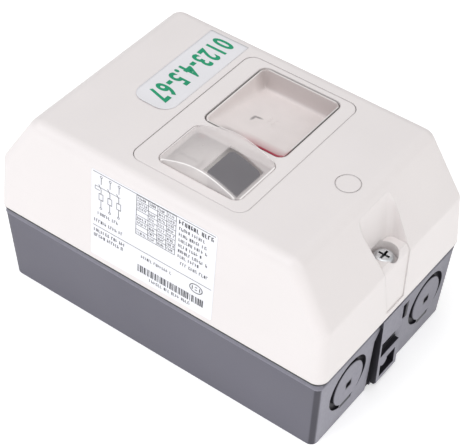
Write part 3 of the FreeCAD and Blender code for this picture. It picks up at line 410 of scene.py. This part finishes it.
def stop_boot_plastic():
    """Frosted boot over the red button, whose red shows through along the near edge; painted shade darkens
    its outline and far wall, and a painted highlight lies along its crest.
    """
    s = Shader("frosted_boot")
    split = s.axes()
    frost = (0.80, 0.735, 0.72)
    far_shade = (0.44, 0.385, 0.375)
    outline_shade = (0.17, 0.15, 0.145)
    red_through = (0.42, 0.10, 0.12)
    red_strip = (0.40, 0.035, 0.065)
    smudge_shade = (0.16, 0.13, 0.14)
    crest_highlight = (0.93, 0.90, 0.89)
    blob_shade = (0.16, 0.145, 0.145)
    base = s.ramp(s.noise(110, 3), "Fac", [(0.3, shade(frost, 0.97)), (0.7, shade(frost, 1.03))])
    edge = film_edge(s, STOP_WINDOW, STOP_GAP, 0.6)
    tone = s.mixed(edge, 0, base, "Color", (0.86, 0.83, 0.81))

    wall = film_edge(s, STOP_WINDOW, STOP_GAP + 1.0, 2.0)
    far = s.scaled(split, "Y", 0.0, 0.8, 26 * MM, 32 * MM)
    off_lip = s.scaled(edge, 0, 1.0, 0.0, 0.0, 1.0)
    far_wall = s.calc(s.calc(wall, far, "MULTIPLY"), off_lip, "MULTIPLY")
    tone = s.mixed(far_wall, 0, tone, 2, far_shade)
    outline = film_edge(s, STOP_WINDOW, STOP_GAP, 0.24)
    tone = s.mixed(s.calc(outline, 0.75, "MULTIPLY"), 0, tone, 2, outline_shade)
    along = s.scaled(split, "X", 0.0, 1.0, 0.0, 9 * MM)
    blush = s.scaled(split, "Y", 0.6, 0.0, -1.5 * MM, 3.4 * MM)
    tone = s.mixed(s.calc(along, blush, "MULTIPLY"), 0, tone, 2, red_through)
    smudge = s.between(split, "X", -3.5 * MM, 4.0 * MM, 2 * MM)
    shadow = s.between(split, "Y", -2.6 * MM, 0.2 * MM, 1.2 * MM)
    smudged = s.calc(s.calc(smudge, shadow, "MULTIPLY"), 0.55, "MULTIPLY")
    tone = s.mixed(smudged, 0, tone, 2, smudge_shade)
    strip = s.between(split, "Y", -4.2 * MM, (RIDGE_Y - 0.35) * MM, 0.15 * MM)
    strip_x = s.between(split, "X", 13 * MM, 23.5 * MM, 1.5 * MM)
    tone = s.mixed(s.calc(strip, strip_x, "MULTIPLY"), 0, tone, 2, red_strip)
    # painted highlight along the crest of the floor's ridge
    crest = s.between(split, "Y", (RIDGE_Y - 0.25) * MM, (RIDGE_Y + 0.3) * MM, 0.15 * MM)
    crest_x = s.between(split, "X", 9 * MM, 22.5 * MM, 1.0 * MM)
    tone = s.mixed(s.calc(crest, crest_x, "MULTIPLY"), 0, tone, 2, crest_highlight)
    for centre, turn in (((0.4, 11.9), 0), ((1.7, 13.4), 80)):
        tone = s.mixed(blob(s, centre, (0.75, 2.1), turn, 0.75), 0, tone, 2, blob_shade)
    s.link(tone, 2, s.bsdf, "Base Color")
    s.link(s.scaled(s.noise(220, 2), "Fac", 0.34, 0.44), 0, s.bsdf, "Roughness")
    s.relief(1600, 0.00002)
    return s.material


def blob(s, centre, half_size, turn, strength):
    """A soft oval patch on a level surface, with its long side turned from +Y."""
    mapping = s.node("Mapping", vector_type="TEXTURE")
    mapping.inputs["Location"].default_value = (centre[0] * MM, centre[1] * MM, 0.0)
    mapping.inputs["Rotation"].default_value = (0.0, 0.0, math.radians(-turn))
    mapping.inputs["Scale"].default_value = (half_size[0] * MM, half_size[1] * MM, 1.0)
    s.link(s.place, "Object", mapping, "Vector")
    flat = s.node("VectorMath", operation="MULTIPLY")
    flat.inputs[1].default_value = (1.0, 1.0, 0.0)
    s.link(mapping, "Vector", flat, 0)
    length = s.node("VectorMath", operation="LENGTH")
    s.link(flat, "Vector", length, 0)
    return s.scaled(length, "Value", strength, 0.0, 0.3, 1.1)


def printed(name, colour, roughness, spread=0.02):
    """Paper, foil or ink: an almost even tone with a fibrous surface."""
    s = Shader(name)
    stops = [(0.3, shade(colour, 1 - spread)), (0.7, shade(colour, 1 + spread))]
    base = s.ramp(s.noise(60, 5), "Fac", stops)
    s.link(base, "Color", s.bsdf, "Base Color")
    s.link(s.scaled(s.noise(300, 2), "Fac", roughness - 0.04, roughness + 0.05), 0, s.bsdf, "Roughness")
    s.relief(1800, 0.000012)
    return s.material


def all_materials():
    spring = (3, 3, 0.4)
    return {
        "cover_plastic": moulded("cover_plastic", (0.81, 0.765, 0.755), 0.42, 0.0005, 0.015, 0.82),
        "base_plastic": base_plastic(),
        "seal_rubber": moulded("seal_rubber", (0.03, 0.03, 0.033), 0.7, spread=0.1),
        "clear_boot": start_boot_plastic(),
        "frosted_boot": stop_boot_plastic(),
        "start_plastic": moulded("start_plastic", (0.028, 0.03, 0.048), 0.35, occlusion_shade=1.0),
        "stop_plastic": moulded("stop_plastic", (0.50, 0.02, 0.035), 0.3),
        "zinc_steel": metal("zinc_steel", (0.80, 0.82, 0.84), 0.36, occlusion_shade=0.05),
        "label_foil": printed("label_foil", (0.88, 0.88, 0.92), 0.4),
        "sticker_paper": printed("sticker_paper", (0.80, 0.79, 0.815), 0.45),
        "breaker_plastic": moulded("breaker_plastic", (0.70, 0.69, 0.67), 0.45),
        "mechanism_plastic": moulded("mechanism_plastic", (0.05, 0.05, 0.055), 0.4),
        "copper": metal("copper", (0.78, 0.36, 0.20), 0.3, (1, 6, 1)),
        "terminal_brass": metal("terminal_brass", (0.72, 0.52, 0.20), 0.3),
        "spring_steel": metal("spring_steel", (0.50, 0.50, 0.52), 0.28, spring),
        "iron": metal("iron", (0.42, 0.42, 0.44), 0.4, (1, 5, 1)),
        "bimetal": metal("bimetal", (0.58, 0.53, 0.45), 0.35, (1, 1, 5)),
        "dial_plastic": moulded("dial_plastic", (0.55, 0.55, 0.53), 0.4),
        "ink_black": printed("ink_black", (0.035, 0.035, 0.045), 0.5, 0.2),
        "ink_grey": printed("ink_grey", (0.22, 0.21, 0.21), 0.55, 0.1),
        "ink_green": printed("ink_green", (0.005, 0.31, 0.15), 0.45, 0.08),
    }


# ---------------------------------------------------------------- mesh helpers

def made_object(name, vertices, faces, material, smooth=True):
    mesh = bpy.data.meshes.new(name)
    mesh.from_pydata([tuple(c * MM for c in v) for v in vertices], [], faces)
    mesh.validate()
    piece = bpy.data.objects.new(name, mesh)
    bpy.context.scene.collection.objects.link(piece)
    mesh.materials.append(material)
    for polygon in mesh.polygons:
        polygon.use_smooth = smooth
    return piece


def outward(piece):
    """Make all the faces of a closed mesh point outwards."""
    work = bmesh.new()
    work.from_mesh(piece.data)
    bmesh.ops.recalc_face_normals(work, faces=work.faces)
    work.to_mesh(piece.data)
    work.free()
    return piece


def applied(piece):
    """Replace a piece's mesh by what its modifiers make of it."""
    graph = bpy.context.evaluated_depsgraph_get()
    final = bpy.data.meshes.new_from_object(piece.evaluated_get(graph))
    piece.modifiers.clear()
    piece.data = final
    return piece


def rounded_loop(x0, x1, y0, y1, radius):
    """Points round a rounded rectangle, anticlockwise from the middle of its left side."""
    mid = (y0 + y1) / 2
    centres = [(x0 + radius, y0 + radius, 180), (x1 - radius, y0 + radius, 270),
               (x1 - radius, y1 - radius, 0), (x0 + radius, y1 - radius, 90)]
    corners = []
    for cx, cy, start in centres:
        arc = []
        for i in range(CORNER_STEPS + 1):
            angle = math.radians(start + 90 * i / CORNER_STEPS)
            arc.append((cx + radius * math.cos(angle), cy + radius * math.sin(angle)))
        corners.append(arc)

    def inner(a, b, steps):
        shares = [i / steps for i in range(1, steps)]
        return [(a[0] + (b[0] - a[0]) * k, a[1] + (b[1] - a[1]) * k) for k in shares]

    half = SIDE_STEPS // 2
    start = (x0, mid)
    right = (x1, mid)
    loop = [start] + inner(start, corners[0][0], half) + corners[0]
    loop += inner(corners[0][-1], corners[1][0], SIDE_STEPS * 2) + corners[1]
    loop += inner(corners[1][-1], right, half) + [right]
    loop += inner(right, corners[2][0], half) + corners[2]
    loop += inner(corners[2][-1], corners[3][0], SIDE_STEPS * 2) + corners[3]
    loop += inner(corners[3][-1], start, half)
    return loop


def skin(rings, close_start=False, close_end=False):
    """Quads between equal closed rings of 3-D points; an end can be closed across the ring."""
    count = len(rings[0])
    vertices = [p for ring in rings for p in ring]
    faces = []
    for r in range(len(rings) - 1):
        for i in range(count):
            a = r * count + i
            b = r * count + (i + 1) % count
            faces.append((a, b, b + count, a + count))
    for wanted, base in ((close_start, 0), (close_end, (len(rings) - 1) * count)):
        if wanted:
            faces.append((base, base + 1, base + count - 1))
            for i in range(1, count // 2 - 1):
                faces.append((base + i, base + i + 1, base + count - i - 1, base + count - i))
            middle = count // 2
            faces.append((base + middle - 1, base + middle, base + middle + 1))
    return vertices, faces


def ring_at(rectangle, inset, radius, height):
    """A rounded-rectangle ring; height is a number or a function of x and y."""
    x0, x1, y0, y1 = rectangle
    corner = max(radius - inset, 0.4)
    points = rounded_loop(x0 + inset, x1 - inset, y0 + inset, y1 - inset, corner)
    return [(x, y, height(x, y) if callable(height) else height) for x, y in points]


# ---------------------------------------------------------------- boots

def flange_piece(name, outer, window, material):
    """The flat rim of a boot, clamped under the window frame."""
    low, high = FLANGE_Z
    rings = [ring_at(outer, 0, FLANGE_CORNER, low), ring_at(outer, 0, FLANGE_CORNER, high),
             ring_at(window, FLANGE_OVERLAP, WINDOW_CORNER, high),
             ring_at(window, FLANGE_OVERLAP, WINDOW_CORNER, low)]
    rings.append(rings[0])
    vertices, faces = skin(rings)
    piece = made_object(name, vertices, faces, material, smooth=False)
    work = bmesh.new()
    work.from_mesh(piece.data)
    bmesh.ops.remove_doubles(work, verts=work.verts, dist=1e-7)
    bmesh.ops.recalc_face_normals(work, faces=work.faces)
    work.to_mesh(piece.data)
    work.free()
    return piece


def boot_skin(name, rings, material):
    """A boot from its outer surface's rings, thickened inwards."""
    vertices, faces = skin(rings, close_end=True)
    piece = outward(made_object(name, vertices, faces, material))
    thick = piece.modifiers.new("wall", "SOLIDIFY")
    thick.thickness = BOOT_WALL * MM
    thick.offset = -1.0
    return applied(piece)


def start_dome(material):
    """The arched clear boot over START: flat upright ends, and edges rounded over."""
    x0, x1, y0, y1 = START_WINDOW
    mid_x = (x0 + x1) / 2
    half = (x1 - x0) / 2 - START_GAP
    arch_r = (half ** 2 + DOME_RISE ** 2) / (2 * DOME_RISE)

    def arch(x):
        """Height over the cover: mostly a round arch, with some of a bell curve's soft feet."""
        u = min(abs(x - mid_x) / half, 1.0)
        round_top = math.sqrt(arch_r ** 2 - (u * half) ** 2) - (arch_r - DOME_RISE)
        bell = DOME_RISE * (1 + math.cos(math.pi * u)) / 2
        return 0.7 * round_top + 0.3 * bell

    def ring(inset, height):
        return ring_at(START_WINDOW, START_GAP + inset, WINDOW_CORNER, height)

    rings = [ring(0.0, FLANGE_Z[1] + SKIN_GAP), ring(0.0, TOP_Z - 0.1)]
    for share in (0.0, 0.5, 1.0):
        rings.append(ring(0.0, lambda x, y, k=share: TOP_Z + max(arch(x) - DOME_EDGE_ROUND, 0.0) * k))
    for step in range(1, 6):
        angle = math.radians(18 * step)
        inset = DOME_EDGE_ROUND * (1 - math.cos(angle))

        def over(x, y, lift=math.sin(angle)):
            rise = arch(x)
            return TOP_Z + max(rise - DOME_EDGE_ROUND, 0.0) + min(rise, DOME_EDGE_ROUND) * lift
        rings.append(ring(inset, over))
    depth = (y1 - y0) / 2 - START_GAP
    for step in range(1, 11):
        inset = DOME_EDGE_ROUND + (depth - 0.5 - DOME_EDGE_ROUND) * step / 10
        rings.append(ring(inset, lambda x, y: TOP_Z + arch(x)))
    return boot_skin("start_boot_dome", rings, material)


def tray_floor(x, y):
    """The sloping floor, with a low crest along its near edge."""
    x0, x1 = RIDGE_X
    fade = min(max((x - x0) / (x1 - x0), 0.0), 1.0)
    crest = RIDGE_HEIGHT * math.exp(-((y - RIDGE_Y) / RIDGE_WIDTH) ** 2) * fade
    return TRAY_FRONT_Z + TRAY_SLOPE * (y - TRAY_FRONT_Y) + crest


def stop_tray(material):
    """The sunk frosted boot over STOP: a rounded lip, leaning walls and a sloping floor."""
    def ring(inset, height):
        return ring_at(STOP_WINDOW, STOP_GAP + inset, WINDOW_CORNER, height)

    rings = [ring(0.0, FLANGE_Z[1] + SKIN_GAP)]
    for inset, drop in ((0.0, 0.3), (0.07, 0.1), (0.22, 0.0), (0.42, 0.03), (0.58, 0.18)):
        rings.append(ring(inset, TRAY_LIP_Z - drop))
    wall = ((0.7, 0.08), (0.85, 0.22), (1.05, 0.42), (1.25, 0.6), (1.5, 0.76), (1.85, 0.88), (2.3, 0.96),
            (2.8, 0.99), (3.4, 1.0))
    for inset, share in wall:
        rings.append(ring(inset, lambda x, y, k=share: TRAY_LIP_Z * (1 - k) + tray_floor(x, y) * k))
    x0, x1 = STOP_WINDOW[:2]
    depth = (x1 - x0) / 2 - STOP_GAP - 0.6
    for step in range(1, 9):
        rings.append(ring(3.4 + (depth - 3.4) * step / 8, tray_floor))
    return boot_skin("stop_boot_tray", rings, material)


# ---------------------------------------------------------------- label and sticker

def wall_point(x, z, lift):
    """A point on the cover's -Y wall, lifted off it."""
    return (x, -COVER_HALF_WIDTH + (z - COVER_EDGE_Z) * WALL_LEAN - lift, z)


class Print:
    """Thin printed marks on a flat place, gathered into one mesh of closed slips."""

    def __init__(self, place, low, high):
        self.place = place
        self.low = low
        self.high = high
        self.vertices = []
        self.faces = []

    def slip(self, corners):
        """A thin plate whose outline is given anticlockwise in the place's own two directions."""
        count = len(corners)
        start = len(self.vertices)
        for lift in (self.low, self.high):
            self.vertices += [self.place(u, v, lift) for u, v in corners]
        self.faces.append(tuple(start + i for i in reversed(range(count))))
        self.faces.append(tuple(start + count + i for i in range(count)))
        for i in range(count):
            j = (i + 1) % count
            self.faces.append((start + i, start + j, start + count + j, start + count + i))

    def bar(self, u0, u1, v0, v1):
        self.slip([(u0, v0), (u1, v0), (u1, v1), (u0, v1)])

    def stroke(self, a, b, width):
        direction = Vector((b[0] - a[0], b[1] - a[1])).normalized() * width / 2
        side = Vector((-direction.y, direction.x))
        self.slip([(a[0] - side.x, a[1] - side.y), (b[0] - side.x, b[1] - side.y),
                   (b[0] + side.x, b[1] + side.y), (a[0] + side.x, a[1] + side.y)])

    def words(self, u0, u1, v, height, weight):
        """A line of print that cannot be read: short upright and level strokes in word groups."""
        u = u0
        while u < u1:
            for _ in range(random.randint(3, 7)):
                if u + height * 0.6 > u1:
                    break
                width = height * random.uniform(0.42, 0.62)
                self.bar(u, u + weight, v, v + height)
                if random.random() < 0.75:
                    level = v + height * random.choice((0.0, 0.45, 1.0)) - weight * 0.5
                    self.bar(u + weight, u + width, level, level + weight * 0.8)
                if random.random() < 0.45:
                    self.bar(u + width - weight, u + width, v, v + height * random.choice((0.5, 1.0)))
                u += width + height * 0.22
            u += height * 0.55

    def ring(self, centre, half_u, half_v, width, steps=28):
        for i in range(steps):
            a = 2 * math.pi * i / steps
            b = 2 * math.pi * (i + 1) / steps
            inner_u = half_u - width
            inner_v = half_v - width
            self.slip([
                (centre[0] + inner_u * math.cos(a), centre[1] + inner_v * math.sin(a)),
                (centre[0] + half_u * math.cos(a), centre[1] + half_v * math.sin(a)),
                (centre[0] + half_u * math.cos(b), centre[1] + half_v * math.sin(b)),
                (centre[0] + inner_u * math.cos(b), centre[1] + inner_v * math.sin(b)),
            ])

    def finish(self, name, material):
        return outward(made_object(name, self.vertices, self.faces, material, smooth=False))


def rating_label(materials):
    """The foil itself, with rounded corners."""
    x0, x1 = LABEL_X
    z0, z1 = LABEL_Z
    loop = rounded_loop(x0, x1, z0, z1, LABEL_CORNER)
    rings = [[wall_point(x, z, lift) for x, z in loop] for lift in (0.0, LABEL_THICK)]
    vertices, faces = skin(rings, close_start=True, close_end=True)
    foil = outward(made_object("rating_label_foil", vertices, faces, materials["label_foil"], smooth=False))
    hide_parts("rating_label")
    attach(foil, "cover")


def label_print(materials):
    """Generic unreadable print: lines, a table, a circuit drawing and a bar pattern."""
    p = Print(wall_point, LABEL_THICK, LABEL_THICK + INK_THICK)
    p.bar(-27.0, 25.8, 53.6, 53.8)
    p.bar(-27.3, 26.0, 78.2, 78.4)

    # circuit drawing: three poles with contacts, trips and a common coil box
    for i in range(3):
        x = -23.6 + i * 4.0
        p.ring((x, 77.0), 0.55, 0.55, 0.2, 12)
        p.bar(x - 0.12, x + 0.12, 73.6, 76.5)
        p.stroke((x - 1.1, 73.2), (x, 71.4), 0.25)
        p.bar(x - 0.12, x + 0.12, 69.4, 71.4)
        p.bar(x - 1.0, x + 1.0, 69.2, 69.45)
        p.bar(x - 1.0, x + 1.0, 66.4, 66.65)
        p.bar(x - 1.0, x - 0.8, 66.4, 69.4)
        p.bar(x + 0.8, x + 1.0, 66.4, 69.4)
        p.bar(x - 0.12, x + 0.12, 63.4, 66.4)
        p.ring((x, 62.8), 0.55, 0.55, 0.2, 12)
    p.bar(-26.4, -15.0, 72.1, 72.3)
    p.bar(-26.4, -24.2, 70.6, 70.8)
    p.bar(-26.4, -26.2, 70.6, 72.3)
    p.words(-25.0, -14.8, 59.4, 1.3, 0.26)

    # table of settings
    x0, x1, z0, z1 = -7.8, 9.4, 60.4, 78.0
    columns = [x0, x0 + 5.2, x0 + 9.2, x0 + 13.2, x1]
    rows = 8
    for x in columns:
        p.bar(x - 0.1, x + 0.1, z0, z1)
    for r in range(rows + 1):
        z = z0 + (z1 - z0) * r / rows
        p.bar(x0 - 0.1, x1 + 0.1, z - 0.1, z + 0.1)
    for r in range(rows):
        z = z0 + (z1 - z0) * (r + 0.28) / rows
        for a, b in zip(columns, columns[1:]):
            if random.random() < 0.85:
                p.words(a + 0.5, b - 0.4, z, 0.95, 0.2)

    # title and the short lines under it
    p.words(10.6, 25.4, 75.6, 1.7, 0.42)
    for z in (72.9, 70.3, 67.8, 65.3, 62.8, 60.4):
        p.words(10.8, random.uniform(19.5, 25.0), z, 1.3, 0.27)
    p.words(12.0, 24.5, 57.4, 1.3, 0.25)

    # maker's lines at the left, a plain oval mark and the bar pattern
    for z in (55.6, 51.0, 48.6):
        p.words(-26.6, random.uniform(-14.0, -11.0), z, 1.35, 0.28)
    p.words(-5.0, 9.0, 50.4, 1.2, 0.24)
    p.ring((19.4, 50.4), 2.9, 2.1, 0.35)
    p.bar(17.6, 18.0, 49.6, 51.2)
    p.bar(18.9, 19.9, 49.6, 49.95)
    p.bar(18.9, 19.9, 50.85, 51.2)
    p.bar(20.8, 21.2, 49.6, 51.2)
    x = -6.4
    while x < 22.6:
        width = random.choice((0.24, 0.24, 0.42, 0.6))
        p.bar(x, x + width, 43.4, 46.6)
        x += width + random.choice((0.24, 0.24, 0.42, 0.55))
    p.words(-1.0, 17.0, 41.2, 1.3, 0.25)
    ink = p.finish("label_print", materials["ink_black"])
    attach(ink, "cover")


def sticker_height(y):
    """The sticker lies flat and lifts a little towards its near, round end."""
    lifted = max(0.0, STICKER_LIFT_Y - y)
    return TOP_Z + STICKER_GAP + STICKER_CURL * lifted ** 2


def size_sticker(materials):
    """White paper sticker, cut round at its near end, slightly lifted there."""
    x0, x1, y0, y1 = STICKER
    columns = 18
    rows = 60
    round_r = 6.0
    lines = []
    for r in range(rows + 1):
        y = y0 + (y1 - y0) * (r / rows) ** 1.3
        inset = 0.0
        if y < y0 + round_r:
            inset = round_r - math.sqrt(max(0.0, round_r ** 2 - (y0 + round_r - y) ** 2))
        line = []
        for c in range(columns + 1):
            x = x0 + inset + (x1 - x0 - 2 * inset) * c / columns
            line.append((x, y, sticker_height(y) + 0.03 * math.sin(x * 0.5 + y * 0.2)))
        lines.append(line)
    under = [p for line in lines for p in line]
    shift = len(under)
    vertices = [(x, y, z + STICKER_THICK) for x, y, z in under] + under
    faces = []
    across = columns + 1
    for r in range(rows):
        for c in range(columns):
            a = r * across + c
            faces.append((a, a + 1, a + across + 1, a + across))
            faces.append(tuple(i + shift for i in (a, a + across, a + across + 1, a + 1)))
    edge = list(range(across))
    edge += [r * across + columns for r in range(1, rows + 1)]
    edge += [rows * across + c for c in range(columns - 1, -1, -1)]
    edge += [r * across for r in range(rows - 1, 0, -1)]
    for i, a in enumerate(edge):
        b = edge[(i + 1) % len(edge)]
        faces.append((b, a, a + shift, b + shift))
    paper = outward(made_object("size_sticker_paper", vertices, faces, materials["sticker_paper"]))
    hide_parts("size_sticker")
    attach(paper, "cover")


def sticker_digits(materials):
    """Plain green counting digits along the sticker, from its far end to its near end."""
    curve = bpy.data.curves.new("digits", "FONT")
    curve.body = "0123-4.5-67"
    curve.size = 10.0
    curve.offset = 0.3
    curve.extrude = INK_THICK / 2
    curve.resolution_u = 6
    curve.space_character = 1.2
    text = bpy.data.objects.new("digits", curve)
    bpy.context.scene.collection.objects.link(text)
    graph = bpy.context.evaluated_depsgraph_get()
    mesh = bpy.data.meshes.new_from_object(text.evaluated_get(graph))
    bpy.data.objects.remove(text)
    xs = [v.co.x for v in mesh.vertices]
    ys = [v.co.y for v in mesh.vertices]
    x0, x1 = DIGITS_X
    y0, y1 = DIGITS_Y
    for v in mesh.vertices:
        share = (v.co.x - min(xs)) / (max(xs) - min(xs))
        rise = (v.co.y - min(ys)) / (max(ys) - min(ys))
        y = y0 + (y1 - y0) * share
        x = x0 + (x1 - x0) * rise
        lift = sticker_height(y) + STICKER_THICK + DIGITS_GAP + v.co.z
        v.co = (x * MM, y * MM, lift * MM)
    ink = bpy.data.objects.new("sticker_digits", mesh)
    bpy.context.scene.collection.objects.link(ink)
    mesh.materials.clear()
    mesh.materials.append(materials["ink_green"])
    outward(ink)
    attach(ink, "cover")


# ---------------------------------------------------------------- putting it together

def press_springs():
    """Give each spring whose pushing piece travels towards its seat a mesh of its own."""
    for joint in frame["record"]["behaviour"]["joints"]:
        for soft in joint.get("deforming_nodes", []):
            if "spring" not in soft["node"]:
                continue
            axis = 0 if soft["mode"] == "scale_x" else 2
            seat = soft["fixed_end_x_m" if axis == 0 else "fixed_end_z_m"]
            spring = frame["nodes"][soft["node"]]
            ends = [(spring.matrix_world @ v.co)[axis] for v in spring.data.vertices]
            free_end = max(ends, key=lambda end: abs(end - seat))
            length = free_end - seat
            travel = joint["range_m"][1] * joint["axis"][axis]
            if travel * length > 0:
                continue
            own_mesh(spring)


def boots(materials):
    flange = flange_piece("start_boot_flange", START_FLANGE, START_WINDOW, materials["clear_boot"])
    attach(flange, "cover")
    dome = start_dome(materials["clear_boot"])
    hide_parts("start_boot")
    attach(dome, "cover")
    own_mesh(dome)

    flange = flange_piece("stop_boot_flange", STOP_FLANGE, STOP_WINDOW, materials["frosted_boot"])
    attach(flange, "cover")
    tray = stop_tray(materials["frosted_boot"])
    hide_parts("stop_boot")
    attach(tray, "cover")
    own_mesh(tray)


def paint_nodes(materials):
    """Give every carried-over node the material of its slot."""
    slots = {part["node"]: part["material_slot"] for part in frame["record"]["subparts"]}
    for name, piece in frame["nodes"].items():
        piece.data.materials.clear()
        piece.data.materials.append(materials[slots[name]])


def floor_and_backdrop():
    """One large pale plane for the object to lie on."""
    s = Shader("floor_pale")
    base = s.ramp(s.noise(6, 3), "Fac", [(0.3, (0.93, 0.93, 0.93)), (0.7, (0.95, 0.95, 0.95))])
    s.link(base, "Color", s.bsdf, "Base Color")
    s.set(Roughness=0.9, Specular_IOR_Level=0.1, Emission_Color=(1.0, 1.0, 1.0, 1.0), Emission_Strength=0.4)
    corners = [(x * FLOOR_HALF, y * FLOOR_HALF, FLOOR_Z) for x, y in ((-1, -1), (1, -1), (1, 1), (-1, 1))]
    floor = made_object("floor", corners, [(0, 1, 2, 3)], s.material, smooth=False)


def area_light(name, azimuth, elevation, distance, size, watts, colour=(1, 1, 1)):
    """A square soft light aimed at the object, placed by its direction."""
    target = Vector((0.0, 0.0, 0.04))
    az = math.radians(azimuth)
    el = math.radians(elevation)
    direction = Vector((math.sin(az) * math.cos(el), -math.cos(az) * math.cos(el), math.sin(el)))
    data = bpy.data.lights.new(name, "AREA")
    data.shape = "SQUARE"
    data.size = size
    data.energy = watts
    data.color = colour
    lamp = bpy.data.objects.new(name, data)
    lamp.location = target + direction * distance
    lamp.rotation_euler = direction.to_track_quat("Z", "Y").to_euler()
    bpy.context.scene.collection.objects.link(lamp)


def studio():
    world = bpy.data.worlds.new("studio")
    world.use_nodes = True
    background = world.node_tree.nodes["Background"]
    background.inputs["Color"].default_value = (1.0, 1.0, 1.0, 1.0)
    background.inputs["Strength"].default_value = 0.46
    bpy.context.scene.world = world
    bpy.context.scene.view_settings.view_transform = "Standard"
    area_light("key_front_left", azimuth=-25, elevation=42, distance=1.3, size=0.9, watts=6.0,
               colour=(0.94, 0.96, 1.0))
    area_light("top", azimuth=20, elevation=82, distance=1.4, size=1.2, watts=5.6)
    area_light("right_side", azimuth=80, elevation=32, distance=1.3, size=0.8, watts=3.2)


def camera():
    """The main view: a long lens from the front right and above."""
    azimuth = math.radians(34.76)
    elevation = math.radians(44.29)
    roll = math.radians(2.56)
    distance = 0.5799
    target = Vector((0.0062, -0.0043, 0.042))
    direction = Vector((math.sin(azimuth) * math.cos(elevation), -math.cos(azimuth) * math.cos(elevation),
                        math.sin(elevation)))
    data = bpy.data.cameras.new("camera")
    data.lens = 120.0
    data.sensor_width = 36.0
    data.clip_start = 0.01
    view = bpy.data.objects.new("camera", data)
    view.location = target + direction * distance
    turn = direction.to_track_quat("Z", "Y") @ Quaternion((0, 0, 1), roll)
    view.rotation_euler = turn.to_euler()
    bpy.context.scene.collection.objects.link(view)
    bpy.context.scene.camera = view


materials = all_materials()
paint_nodes(materials)
boots(materials)
rating_label(materials)
label_print(materials)
size_sticker(materials)
sticker_digits(materials)
floor_and_backdrop()
studio()
camera()

press_springs()
